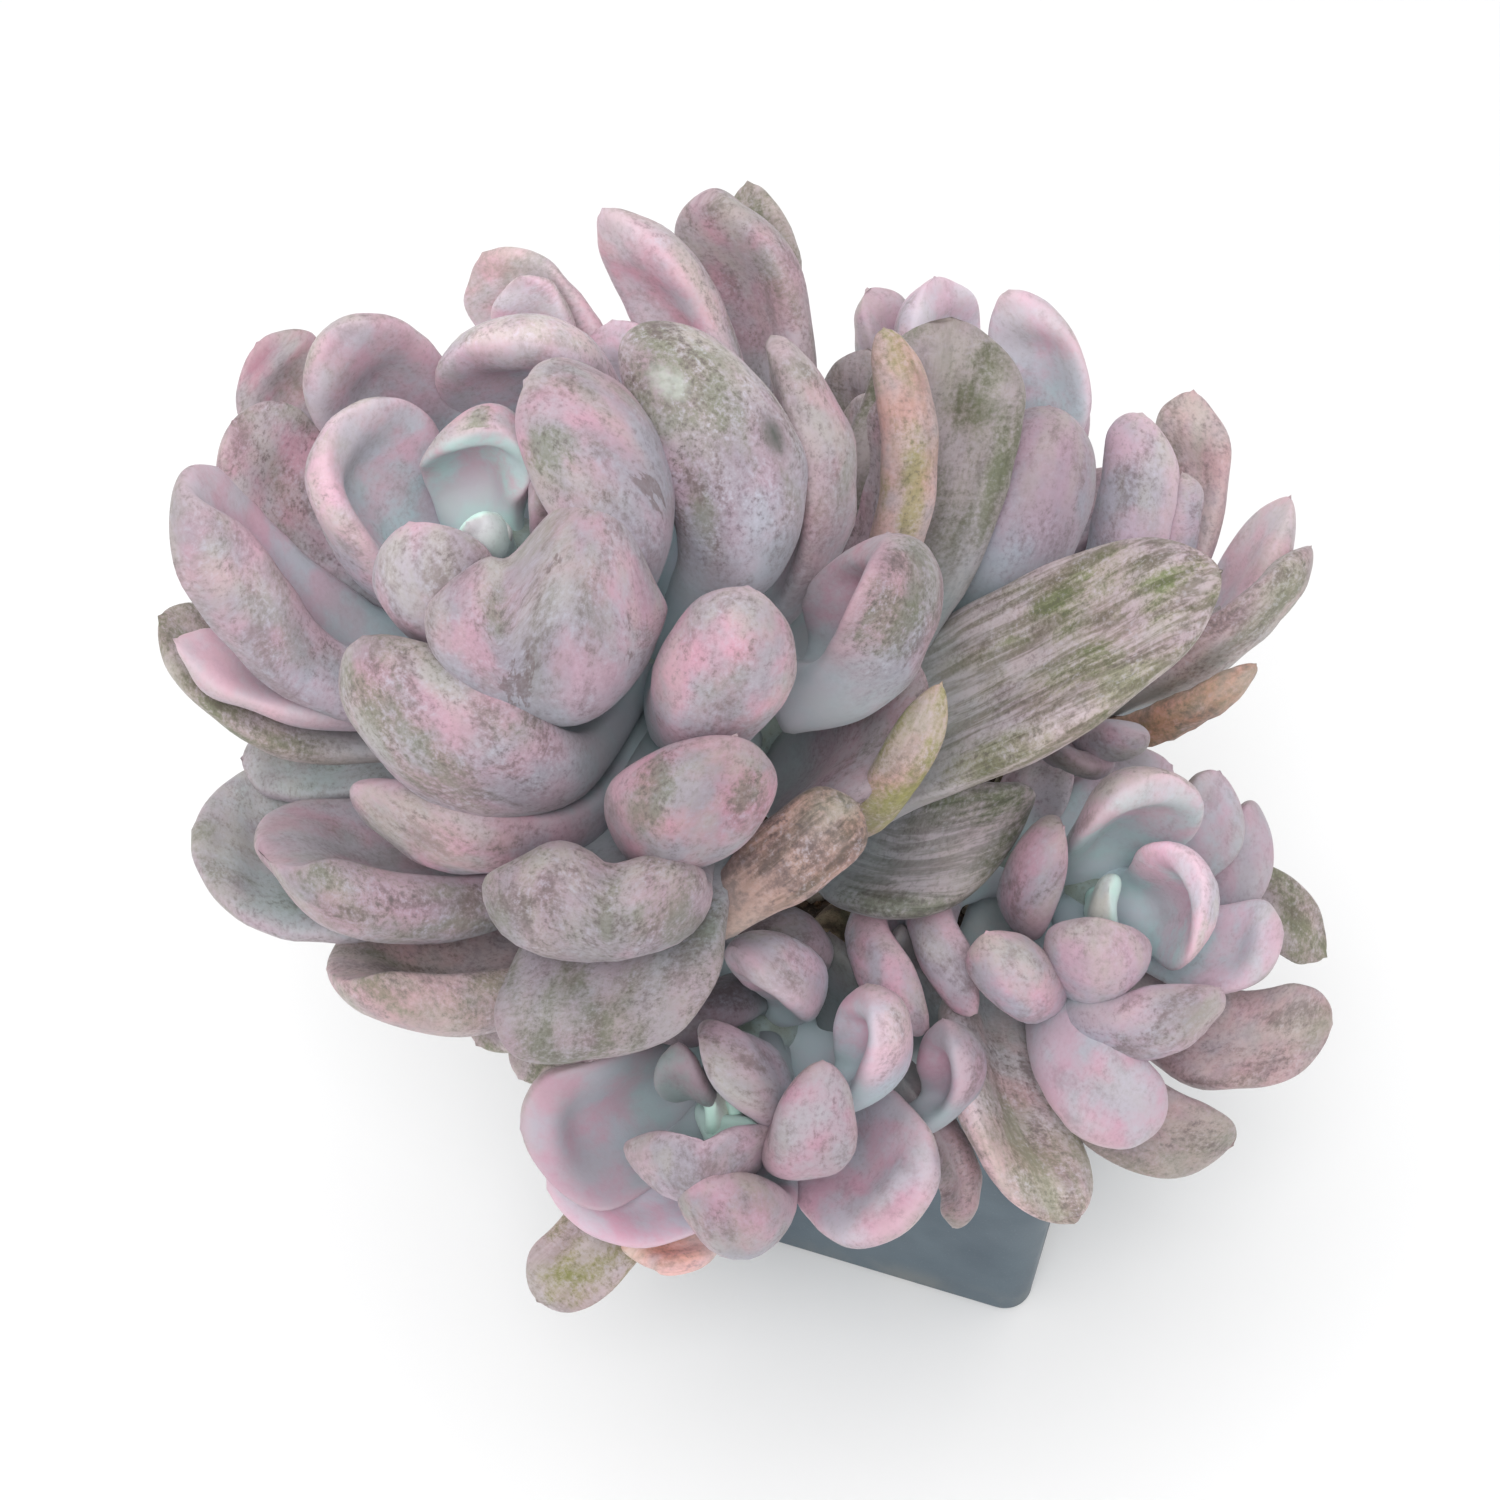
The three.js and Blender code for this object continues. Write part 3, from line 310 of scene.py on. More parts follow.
# Far leaves: turn about the axis, level, reach, rise, width, thickness, cupping
FAR_LEAVES = {
    "rosette_main": [
        (72, 62, 56, 12, 24, 10, 0.2), (104, 58, 58, 10, 25, 10, 0.2),
        (138, 60, 56, 6, 26, 10, 0.2), (168, 64, 54, 2, 24, 9, 0.2),
        (120, 74, 48, -4, 22, 9, 0.15), (88, 78, 44, -4, 20, 9, 0.15),
        (154, 78, 46, -6, 22, 9, 0.15), (190, 74, 48, -4, 24, 9, 0.2),
    ],
    "rosette_back": [
        (60, 24, 30, 20, 22, 10, 0.25), (105, 26, 32, 18, 22, 10, 0.25),
        (20, 30, 32, 12, 20, 9, 0.2), (82, 36, 34, 8, 20, 9, 0.2),
        (150, 34, 28, 8, 16, 8, 0.2), (112, 38, 30, -2, 18, 9, 0.2),
        (52, 38, 30, 2, 17, 8, 0.2),
    ],
    "rosette_side": [
        (80, 12, 16, 18, 12, 8, 0.2), (120, 22, 26, 14, 14, 8, 0.2),
        (50, 27, 30, 8, 14, 8, 0.2), (20, 10, 12, 16, 10, 7, 0.2),
    ],
    "rosette_right": [(82, 30, 24, 3, 14, 8, 0.2), (35, 33, 34, 8, 16, 9, 0.2)],
    "rosette_front": [
        (200, 26, 32, 18, 16, 8, 0.2), (170, 30, 28, 14, 14, 8, 0.2), (140, 30, 28, 10, 14, 8, 0.2),
    ],
}
print("leaves:", {name: len(LEAVES[name]) + len(FAR_LEAVES[name]) for name in LEAVES})

# %% [markdown]
# ## What each look means
# All leaves wear the same skin, but in different amounts. A leaf carries seven
# numbers on its points: how much pink blush, dark rubbed grain and olive it has,
# how dried, how pale and how minty it is, and how far its inner face is rubbed like
# the outer one. Each leaf could have its seven in its row, but most are alike, so
# that a row names a look and changes a number only where the leaf asks for it.

# %% Looks
MOODS = ("blush", "rubbed", "olive", "dried", "pale", "mint", "both")
# How much of each mood a look has
LOOKS = {
    "bud": (0.0, 0.1, 0.0, 0.0, 1.0, 1.0, 0.0),
    "bowl": (0.5, 0.4, 0.15, 0.0, 1.0, 0.7, 0.0),
    "pale": (0.6, 0.3, 0.05, 0.0, 0.9, 0.1, 0.1),
    "lilac": (0.6, 0.7, 0.3, 0.0, 0.5, 0.0, 0.35),
    "blush": (1.0, 0.7, 0.2, 0.0, 0.3, 0.0, 0.8),
    "mauve": (0.65, 0.8, 0.35, 0.1, 0.25, 0.0, 0.9),
    "grey": (0.4, 1.0, 0.6, 0.06, 0.25, 0.0, 1.0),
    "olive": (0.3, 0.75, 0.95, 0.14, 0.3, 0.0, 1.0),
    "faded": (0.8, 0.5, 0.5, 0.12, 0.4, 0.0, 0.6),
    "teal": (0.2, 0.55, 0.5, 0.0, 1.0, 0.15, 0.8),
    "cream": (0.55, 0.15, 0.05, 0.12, 0.5, 0.0, 0.1),
    "tan": (0.6, 0.75, 0.5, 0.35, 0.15, 0.0, 1.0),
    "orange": (0.6, 0.6, 0.4, 0.75, 0.0, 0.0, 1.0),
    "finger": (0.5, 0.5, 0.9, 0.35, 0.0, 0.0, 1.0),
    "striped": (0.15, 0.85, 1.0, 0.16, 0.2, 0.0, 1.0),
    "dark": (0.1, 0.85, 1.0, 0.1, 0.3, 0.0, 1.0),
    "dry": (0.4, 0.9, 0.3, 0.85, 0.0, 0.0, 1.0),
}
# Looks that have a material of their own; the others wear the plain one of their head
KINDS = {
    "striped": "striped", "dark": "dark", "dry": "dry",
    "finger": "finger", "orange": "finger", "olive": "green",
}
print("looks:", len(LOOKS))

# %% [markdown]
# ## The axis of a head
# The leaves of a real rosette stand round a core that leans its own way. The leaves,
# the core and the branch below it could each have places of their own, but then a
# change to one would leave the others behind. A small class keeps the axis of a head
# and finds places along it and directions round it, so that all of them agree.

# %% Head axis


class Head:
    """The axis of a head, and places along and around it."""

    def __init__(self, name):
        row = HEADS[name]
        self.heart, self.foot = seen(*row["heart"]), seen(*row["foot"])
        self.axis = unit(self.heart - self.foot)
        self.east = unit(RIGHT - self.axis * RIGHT.dot(self.axis))
        self.north = np.cross(self.axis, self.east)
        self.core, self.leafy, self.rub = row["core"], row["leafy"], row["rub"]

    def at(self, level):
        """The place on the axis that lies this far below the heart."""
        return self.heart - self.axis * level

    def radial(self, turn):
        """The direction away from the axis at a turn round it."""
        return self.east * math.cos(turn) + self.north * math.sin(turn)

    def turn_of(self, point, level):
        """The turn at which a point lies, seen from a level of the axis."""
        away = point - self.at(level)
        return math.atan2(away.dot(self.north), away.dot(self.east))


leans = {name: round(math.degrees(math.acos(Head(name).axis[2]))) for name in HEADS}
print("each head leans, in degrees:", leans)

# %% [markdown]
# ## Growing one leaf
# A real leaf of this plant is a fat spoon: a narrow root, the widest place at the
# belly, a blunt tip with a small point, and an oval section whose inner face is
# hollowed. Each leaf could be sculpted by hand. Here its surface is swept along a
# curve through root, belly and tip, because that keeps every leaf's own bend and
# lets the same few functions make all of them.

# %% Rows of points, waves and directions
LEAF_MESH = (36, 30)
FINE_LEAF_MESH = (64, 56)


def rounded(x, power):
    """A wave's values with more or less of them near its ends."""
    return np.sign(x) * np.abs(x) ** power


def waves(at, seed, size, count=4):
    """A few crossing waves over points: gentle lumps of about that size in mm."""
    draw = np.random.RandomState(seed)
    total = np.zeros(at.shape[:-1])
    for _ in range(count):
        way = unit(draw.normal(size=3)) * (2 * math.pi / (size * draw.uniform(0.8, 1.5)))
        total += np.sin(at @ way + draw.uniform(0, 2 * math.pi))
    return total / count


def ring_quads(ids):
    """Four-sided faces between rows of point numbers that close round on themselves."""
    following = np.roll(ids, -1, axis=1)
    return np.stack([ids[:-1], following[:-1], following[1:], ids[1:]], -1).reshape(-1, 4).tolist()


def capped(first, rows, last):
    """Rows of points with one point before them and one after."""
    return np.concatenate([[first], rows.reshape(-1, 3), [last]])


def frames_along(along, across):
    """The sideways and inward directions at each station of a leaf's spine."""
    along = unit(along - 0.7 * (along @ across)[:, None] * across)
    side = unit(across - along * (along @ across)[:, None])
    return side, np.cross(along, side)


print("a leaf has", LEAF_MESH[0] * LEAF_MESH[1] + 2, "points")

# %% [markdown]
# ## The spine of a leaf
# A leaf leaves the core sideways, bends up through its belly and ends in a tip that
# may nod in over the heart. A bent armature could pose a straight leaf. A curve with
# one handle is simpler: the handle is worked out so that the curve passes through
# the belly, which is the place that the photograph shows best.

# %% Spine of a leaf
ROOT_IN_CORE = 0.45
BELLY_LIMITS = (0.5, 0.78)
WIDEST_LIMITS = (0.55, 0.74)
HOOD_SHARE = 0.06


def leaf_stand(head, leaf):
    """Where a leaf starts in the core, and which way is across it."""
    form, level = leaf["form"], leaf["level"]
    turn = form["turn"] if "turn" in form else head.turn_of(leaf["belly"], level)
    out = head.radial(turn)
    root = head.at(level) + out * head.core * ROOT_IN_CORE * min(1, (level + 4) / 12)
    if "root" in form:
        root = seen(*form["root"])
    across = np.cross(head.axis, out)
    if "across" in form:
        way = seen_way(form["across"])
        across = way * (-1 if way.dot(across) < 0 else 1) * (-1 if form.get("flip") else 1)
    return root, across


def leaf_spine(head, leaf, rings):
    """Stations from root to tip, with their directions; the belly's share of the way."""
    tip, belly = leaf["tip"], leaf["belly"]
    root, across = leaf_stand(head, leaf)
    inner, outer = np.linalg.norm(belly - root), np.linalg.norm(tip - belly)
    share = float(np.clip(inner / (inner + outer), *BELLY_LIMITS))
    # The curve's handle, pulled so that the curve passes through the belly
    pull = (belly - root * (1 - share) ** 2 - tip * share**2) / (2 * share * (1 - share))
    # The stations stand closer together at the tip
    t = np.sin(np.arange(rings) / rings * math.pi / 2)[:, None] ** 0.9
    middle = root * (1 - t) ** 2 + pull * 2 * t * (1 - t) + tip * t * t
    along = unit((pull - root) * (1 - t) + (tip - pull) * t)
    side, inward = frames_along(along, across)
    # The end of the spine bends in over the hollow
    hood = leaf["form"].get("hood", HOOD_SHARE * leaf["width"])
    middle = middle + inward * hood * smooth((t - 0.35) / 0.9) ** 1.2 * 1.6
    along = unit(np.gradient(middle, t[:, 0], axis=0))
    side, inward = frames_along(along, across)
    return {"t": t[:, 0], "middle": middle, "along": along, "side": side, "inward": inward,
            "length": inner + outer, "belly": share}


print("a leaf's belly lies this far along it:", BELLY_LIMITS)

# %% [markdown]
# ## The section of a leaf
# Cut across, a leaf is an oval that is fuller outside than inside, and the inner face
# is pressed in like a spoon. A circle moved into an oval and then pressed gives that
# with few numbers. The width grows from the root to the belly and closes in a blunt
# curve at the tip, and the thickness stays nearly even until the end.

# %% Width, thickness and hollow
SECTION_POWER = 0.9
INNER_FULLNESS, OUTER_FULLNESS = 0.85, 1.15
TIP_WIDTH_POWER, TIP_THICKNESS_POWER = 2.2, 3.2
ROOT_THICKNESS = 0.66


def half_sizes(leaf, t, widest):
    """Half the width and half the thickness at each station."""
    base, blunt = leaf["form"].get("base", 0.5), leaf["form"].get("blunt", 2.6)
    x = np.clip((t - widest) / (1 - widest), 0, 1)
    closing = (1 - x**blunt) ** (1 / TIP_WIDTH_POWER)
    wide = np.where(t < widest, base + (1 - base) * smooth(t / widest), closing)
    y = np.clip((t - 0.5) / 0.5, 0, 1)
    swelling = ROOT_THICKNESS + (1 - ROOT_THICKNESS) * smooth(t / 0.5)
    deep = np.where(t < 0.5, swelling, np.sqrt(1 - y**TIP_THICKNESS_POWER))
    shrink = np.where(np.arange(len(t)) == 0, 0.9, 1)
    return leaf["width"] * wide / 2 * shrink, leaf["thick"] * deep / 2 * shrink


def hollowed(leaf, t, spread, sz, half_deep):
    """How far the points of an oval section stand inwards, once its inner face is pressed in."""
    width, thick = leaf["width"], leaf["thick"]
    lift = sz * half_deep[:, None] * np.where(sz > 0, INNER_FULLNESS, OUTER_FULLNESS)
    bowl = smooth((t - 0.1) / 0.3) * (1 - smooth((t - 0.76) / 0.18))
    pressed = leaf["form"].get("hollow", 0.25) * thick * bowl[:, None] * np.exp(-((spread / 0.6) ** 2))
    lift = lift - pressed * np.maximum(sz, 0) * (half_deep * 2 / thick)[:, None]
    return lift + leaf["cup"] * smooth(t / 0.45)[:, None] * width * 0.5 * (spread**2 - 0.3)


print("a section is this full inside and outside:", INNER_FULLNESS, OUTER_FULLNESS)

# %% [markdown]
# ## Lumps, folds and curled sides
# Real leaves are never even: they have lumps, wavy rims, a ridge or a groove, and the
# dry ones are pleated. A bump in the material would only shade these, and the outline
# would stay smooth. They are moved into the points, so that they are real form.

# %% Lumps, ridges, pleats and curls


def lumpy(leaf, seed, phase, t, flat, sx, sz, step, lift):
    """The section's points moved by lumps, a wavy rim, a ridge, a groove and pleats."""
    form, width = leaf["form"], leaf["width"]
    spread = step * 2 / width
    late, body = smooth((t - 0.45) / 0.4)[:, None], smooth(t / 0.3)[:, None]
    t = t[:, None]
    lump = waves(flat, seed, 0.5 * width + 4) * 0.055 * min(width, 20) * form.get("lumps", 1)
    lump = lump + waves(flat, seed + 7, 0.2 * width + 2) * 0.012 * width * form.get("lumps", 1)
    lift = lift + lump * body * sz
    step = step + lump * 0.7 * body * sx
    lift = lift + form.get("wave", 0.3) * late * spread**2 * np.sin(t * 11 + phase + 2 * spread)
    ridge, groove = np.exp(-((spread / 0.22) ** 2)), np.exp(-(((spread - 0.1) / 0.2) ** 2))
    lift = lift + form.get("ridge", 0) * body * ridge * np.where(sz < 0, -1, 0.2)
    lift = lift - form.get("groove", 0) * body * groove * np.where(sz < 0, -1, 1)
    if "pleats" in form:
        fold = np.sin(spread * 16 + 1.2 * np.sin(t * 5)) + 0.5 * np.sin(t * 60 + spread * 5)
        lift = lift + form["pleats"] * fold * body * np.abs(sz) * (1 - smooth((t - 0.8) / 0.2))
    return step, lift


def curled(step, lift, t, width, way, degrees, start):
    """One side of the blade rolled in over the hollow."""
    away = np.linspace(0, 1.6, 120)
    roll = math.radians(degrees) * smooth((away - start) / 0.7)
    reach = np.cumsum(np.cos(roll)) * (away[1] - away[0])
    climb = np.cumsum(np.sin(roll)) * (away[1] - away[0])
    from_middle = np.maximum(way * step * 2 / width, 0)
    bend = np.interp(from_middle, away, roll)
    rolled_step = way * (np.interp(from_middle, away, reach) * width / 2 - lift * np.sin(bend))
    rolled_lift = np.interp(from_middle, away, climb) * width / 2 + lift * np.cos(bend)
    # The root stays flat, and so does the other side
    part = smooth(t / 0.4)[:, None] * (way * step > 0)
    return step + (rolled_step - step) * part, lift + (rolled_lift - lift) * part


out, up = curled(np.array([[10.0]]), np.array([[0.0]]), np.ones(1), 20, 1, 90, 0.05)
print("10 mm of a side, curled by 90 degrees, end", out.round(1).item(), "out and", up.round(1).item(), "up")

# %% [markdown]
# ## What a leaf tells its skin
# The skin has to know where on the leaf it is, which face it is on, how far this leaf
# is blushed or dried, and where it is scuffed or stained. Each leaf could have a
# painted picture for that. Values stored on the points do the same in every leaf's
# own millimetres, and one material can read them for all leaves.

# %% Skin values of a leaf
MARKS = ("hole", "bare", "olive", "scuff")
SKIN_SHIFT = 400
MOOD_CHANCE = (0.85, 1.15)
TONE_CHANCE = (-0.1, 0.1)


def skin_values(head, leaf, place, spot, draw):
    """Places, moods and marks at every point of one leaf."""
    form, n = leaf["form"], len(place)
    spot = spot + draw.uniform(-SKIN_SHIFT, SKIN_SHIFT, 3)
    marked = {kind: np.zeros(n) for kind in MARKS}
    for kind, at, across_at, on_face, long, broad in form.get("marks", []):
        near = ((place[:, 0] - at) / long) ** 2 + ((place[:, 1] - across_at) / broad) ** 2
        amount = np.exp(-(near**1.3)) * (place[:, 2] * on_face > 0.05)
        marked[kind] = np.maximum(marked[kind], amount)
    mood = [form.get(label, value) for label, value in zip(MOODS, LOOKS[leaf["look"]])]
    mood = np.array(mood) * draw.uniform(*MOOD_CHANCE, len(MOODS))
    if KINDS.get(leaf["look"], "plain") == "plain":
        mood[1:3] *= head.rub
    # The tone is partly the leaf's own and partly painted light, set per leaf to lift leaves in shade and
    # darken well lit ones
    tone = form.get("tone", 0.0) + draw.uniform(*TONE_CHANCE)
    return {
        "place": place,
        "spot": spot,
        "mood": np.tile(mood[:3], (n, 1)),
        "age": np.tile(mood[3:6], (n, 1)),
        "wear": np.stack([marked["scuff"], np.full(n, mood[6]), np.full(n, tone)], -1),
        "marks": np.stack([marked["hole"], marked["bare"], marked["olive"]], -1),
    }


print("marks that a leaf may carry:", MARKS)

# %% [markdown]
# ## A whole leaf
# The last function puts spine, section, folds and skin values together. Notches and
# the small point are pushed along the leaf at the end, because there they move the
# rim alone. A leaf that carries marks gets a finer mesh, so that they keep an edge.

# %% Leaf surface


def outward_faces(ids, points, inside):
    """Faces over rows of points and their two end points, all facing away from a place inside."""
    last = len(points) - 1
    quads = [[a, d, c, b] for a, b, c, d in ring_quads(ids)]
    faces = quads + [[0, a, b] for a, b in zip(ids[0], np.roll(ids[0], -1))]
    faces += [[a, last, b] for a, b in zip(ids[-1], np.roll(ids[-1], -1))]
    a, b, c = (points[[quad[k] for quad in quads]] for k in range(3))
    if np.einsum("ij,ij->i", a - inside, np.cross(b - a, c - a)).sum() < 0:
        faces = [face[::-1] for face in faces]
    return faces


def leaf_surface(head, leaf, seed):
    """Points, faces and skin values of one leaf, in mm."""
    form = leaf["form"]
    rings, around = FINE_LEAF_MESH if form.get("marks") else LEAF_MESH
    spine = leaf_spine(head, leaf, rings)
    t, along = spine["t"], spine["along"]
    widest = float(np.clip(spine["belly"], *WIDEST_LIMITS))
    half_wide, half_deep = half_sizes(leaf, t, widest)
    # Round the section, sx runs across the leaf and sz inwards
    angle = 2 * math.pi * np.arange(around) / around
    sx, sz = (rounded(wave(angle), SECTION_POWER)[None] for wave in (np.cos, np.sin))
    step = sx * half_wide[:, None]
    spread = step * 2 / leaf["width"]
    lift = hollowed(leaf, t, spread, sz, half_deep)
    flat = np.stack([step, lift, np.broadcast_to((t * spine["length"])[:, None], step.shape)], -1)
    face = sz * np.minimum(1, half_deep / (0.3 * leaf["thick"]))[:, None]

    draw = np.random.RandomState(seed)
    phase = draw.uniform(0, 2 * math.pi)
    step, lift = lumpy(leaf, seed, phase, t, flat, sx, sz, step, lift)
    for way, degrees, start in form.get("curl", []):
        step, lift = curled(step, lift, t, leaf["width"], way, degrees, start)

    # Lobes and the small point run on along the leaf
    late, point = smooth((t - 0.45) / 0.4)[:, None], form.get("point", 0.5)
    run = np.zeros_like(step)
    for centre, breadth, push in form.get("lobes", []):
        run = run + push * np.exp(-(((spread - centre) / breadth) ** 2)) * late
    run = run + point * (np.clip((t - 0.965) / 0.035, 0, 1) ** 2)[:, None]
    points = spine["middle"][:, None] + spine["side"][:, None] * step[..., None]
    points = points + spine["inward"][:, None] * lift[..., None] + along[:, None] * run[..., None]
    first = points[0].mean(0) - along[0] * 0.5
    end = points[-1].mean(0) + along[-1] * (0.25 + 0.35 * point)
    points = capped(first, points, end)

    place = np.stack(np.broadcast_arrays(t[:, None], spread, face), -1)
    place = capped((0, 0, 0), place, (1, 0, 0))
    spot = capped((0, 0, 0), flat, (0, 0, spine["length"]))
    ids = 1 + np.arange(rings * around).reshape(rings, around)
    faces = outward_faces(ids, points, spine["middle"].mean(0))
    return points, faces, skin_values(head, leaf, place, spot, draw)


print("a leaf with marks has", FINE_LEAF_MESH[0] * FINE_LEAF_MESH[1] + 2, "points")

# %% [markdown]
# ## Building node trees
# Every finish is a small tree of nodes. Trees can be drawn by hand in the shader
# editor, but a script that makes them says each value once and can be read from top
# to bottom. These helpers add one node each: a plain value sets its socket, and a
# socket is linked to it.

# %% Helpers for node trees


def srgb(r, g, b):
    """A colour as read from a screen, 0 to 255, as the linear colour that Blender uses."""
    return tuple(((c / 255 + 0.055) / 1.055) ** 2.4 for c in (r, g, b)) + (1.0,)


def feed(tree, socket, value):
    """Links a socket to another, or sets its value."""
    if isinstance(value, bpy.types.NodeSocket):
        tree.links.new(value, socket)
    else:
        socket.default_value = value


def put(tree, kind, **values):
    """A node: names with a leading mark are its settings, the others are its sockets."""
    node = tree.nodes.new("ShaderNode" + kind)
    for key, value in values.items():
        if key.startswith("_"):
            setattr(node, key[1:], value)
    for key, value in values.items():
        if not key.startswith("_"):
            name = key.replace("_", " ")
            feed(tree, node.inputs[int(name[1:])] if name[1:].isdigit() else node.inputs[name], value)
    return node


def maths(tree, what, a, b=0.0, c=0.0):
    return put(tree, "Math", _operation=what, i0=a, i1=b, i2=c).outputs[0]


def blend(tree, amount, a, b, how="MIX"):
    """Colour a towards colour b."""
    node = put(tree, "Mix", _data_type="RGBA", _blend_type=how, _clamp_factor=True, i0=amount, i6=a, i7=b)
    return node.outputs[2]


def ramp(tree, value, low, high, to_low=0.0, to_high=1.0):
    """A smooth step of a value between two limits."""
    node = put(
        tree, "MapRange", _interpolation_type="SMOOTHSTEP", Value=value,
        From_Min=low, From_Max=high, To_Min=to_low, To_Max=to_high,
    )
    return node.outputs[0]


def new_group(name, inputs, outputs):
    """An empty node group with named sockets: its tree, what it is given and what it puts out."""
    tree = bpy.data.node_groups.new(name, "ShaderNodeTree")
    for label, kind, value in inputs:
        socket = tree.interface.new_socket(label, in_out="INPUT", socket_type="NodeSocket" + kind)
        if value is not None:
            socket.default_value = value
    for label, kind in outputs:
        tree.interface.new_socket(label, in_out="OUTPUT", socket_type="NodeSocket" + kind)
    return tree, tree.nodes.new("NodeGroupInput").outputs, tree.nodes.new("NodeGroupOutput").inputs


def use(tree, group, **values):
    """A group placed in a tree with its own values."""
    node = tree.nodes.new("ShaderNodeGroup")
    node.node_tree = group
    for key, value in values.items():
        feed(tree, node.inputs[key.replace("_", " ")], value)
    return node.outputs


def above_limit(tree, cloud, cover, limits, soft):
    """A mask where a cloud rises above a limit, which sinks as the cover grows."""
    limit = put(tree, "MapRange", Value=cover, To_Min=limits[0], To_Max=limits[1]).outputs[0]
    return ramp(tree, cloud, maths(tree, "SUBTRACT", limit, soft), maths(tree, "ADD", limit, soft))


print("mid grey as linear colour:", round(srgb(128, 128, 128)[0], 3))

# %% [markdown]
# ## Cloudy patches
# Blush, powder, stains, dust and bark all lie in soft-edged clouds. They could be
# painted, but a painting fits one leaf only. A noise cut off at a limit makes them
# for any surface. Each use gives the size in millimetres, how much is covered, how
# soft the edge is, and how far a grain may break it up.

# %% Cloudy patches


def make_patches():
    tree, given, result = new_group(
        "cloudy patches",
        [("Place", "Vector", None), ("Size", "Float", 8.0), ("Cover", "Float", 0.5),
         ("Soft", "Float", 0.08), ("Grain", "Float", 0.5), ("Break", "Float", 0.0)],
        [("Mask", "Float")],
    )
    scale = maths(tree, "DIVIDE", 1.0, given["Size"])
    cloud = put(tree, "TexNoise", Vector=given["Place"], Scale=scale, Detail=3.0, Roughness=0.55)
    grain = maths(tree, "SUBTRACT", given["Grain"], 0.5)
    broken = maths(tree, "MULTIPLY_ADD", grain, given["Break"], cloud.outputs["Fac"])
    mask = above_limit(tree, broken, given["Cover"], (0.72, 0.3), given["Soft"])
    tree.links.new(mask, result["Mask"])
    return tree


patches = make_patches()
print("group:", patches.name)

# %% [markdown]
# ## Fine grains
# The powder breaks into specks where it is rubbed, and bark, soil and plastic have a
# grain too. The same noise does it at a much smaller size and with more detail. The
# group puts out a mask for colours and the bare noise for relief.

# %% Fine grains


def make_grains():
    tree, given, result = new_group(
        "fine grains",
        [("Place", "Vector", None), ("Size", "Float", 0.5),
         ("Density", "Float", 0.5), ("Detail", "Float", 2.5)],
        [("Mask", "Float"), ("Relief", "Float")],
    )
    scale = maths(tree, "DIVIDE", 1.0, given["Size"])
    noise = put(
        tree, "TexNoise", Vector=given["Place"], Scale=scale, Detail=given["Detail"], Roughness=0.72
    )
    grain = noise.outputs["Fac"]
    tree.links.new(above_limit(tree, grain, given["Density"], (0.78, 0.4), 0.12), result["Mask"])
    tree.links.new(grain, result["Relief"])
    return tree


grains = make_grains()
print("group:", grains.name)

# %% [markdown]
# ## Lengthwise streaks
# Old leaves are striped along their length, and wiped powder leaves ragged lines. A
# wave texture would look ruled. Noise that is squeezed across the leaf and stretched
# along it gives streaks that start and end as they like.

# %% Lengthwise streaks


def make_streaks():
    tree, given, result = new_group(
        "lengthwise streaks",
        [("Place", "Vector", None), ("Spacing", "Float", 2.0),
         ("Length", "Float", 14.0), ("Cover", "Float", 0.5)],
        [("Mask", "Float")],
    )
    apart = put(tree, "SeparateXYZ", Vector=given["Place"]).outputs
    thin = put(
        tree, "CombineXYZ",
        X=maths(tree, "DIVIDE", apart[0], given["Spacing"]),
        Y=maths(tree, "DIVIDE", apart[1], given["Spacing"]),
        Z=maths(tree, "DIVIDE", apart[2], given["Length"]),
    ).outputs[0]
    cloud = put(tree, "TexNoise", Vector=thin, Scale=1.0, Detail=3.0, Roughness=0.6, Distortion=0.3)
    mask = above_limit(tree, cloud.outputs["Fac"], given["Cover"], (0.7, 0.32), 0.09)
    tree.links.new(mask, result["Mask"])
    return tree


streaks = make_streaks()
print("group:", streaks.name)

# %% [markdown]
# ## The powdery skin
# The leaves carry a waxy powder over blue-green flesh. Near the root and on the
# inner face the flesh shows cool and clean. Towards the tip the powder is lilac
# with a pink blush, and on the outer face it is rubbed, so that dark grains and
# olive patches come through. A photograph laid on the leaves would also carry its
# light and stretch over them. All of it is mixed here from clouds and grains instead,
# as one group with a colour, a roughness and a relief, because every leaf needs it.

# %% Colours of the skin
FLESH = srgb(180, 200, 204)
MINT = srgb(190, 224, 212)
# A pale inner face: partly its own colour, partly painted light that lifts the shade in the hollow leaves
INNER_PALE_AND_PAINTED_LIGHT = srgb(206, 197, 207)
WARM = srgb(186, 166, 168)
CREAM = srgb(188, 184, 172)
POWDER = srgb(198, 198, 212)
MAUVE = srgb(146, 128, 140)
BROWN = srgb(112, 94, 94)
BARK_BROWN = srgb(136, 102, 82)
RIM_PINK = srgb(222, 186, 198)
HOLE = srgb(62, 72, 62)
BARE = srgb(198, 206, 198)
# What a leaf material may change
SKIN_COLOURS = [
    ("Lilac", srgb(162, 160, 174)), ("Pink", srgb(214, 154, 175)), ("Olive", srgb(116, 124, 98)),
    ("Moss", srgb(104, 114, 76)), ("Grain", srgb(94, 82, 88)), ("Dried", srgb(196, 150, 124)),
]
SKIN_AMOUNTS = [("Streaks", 0.0), ("Smudges", 0.6), ("Grain Size", 0.9)]
print("colours that a leaf material may change:", [label for label, _ in SKIN_COLOURS])

# %% [markdown]
# ## Where on the leaf the skin is
# Powder is worn off where leaves touch: outside, at the rim and towards the tip. The
# values that each leaf stored on its points say where that is, and a few masks made
# from them serve every step that follows. They are kept together in one object, so
# that each step can be a short function of its own. Every cloud is shifted by its
# own amount, because clouds of the same noise would otherwise lie on each other.

# %% The skin's values and masks


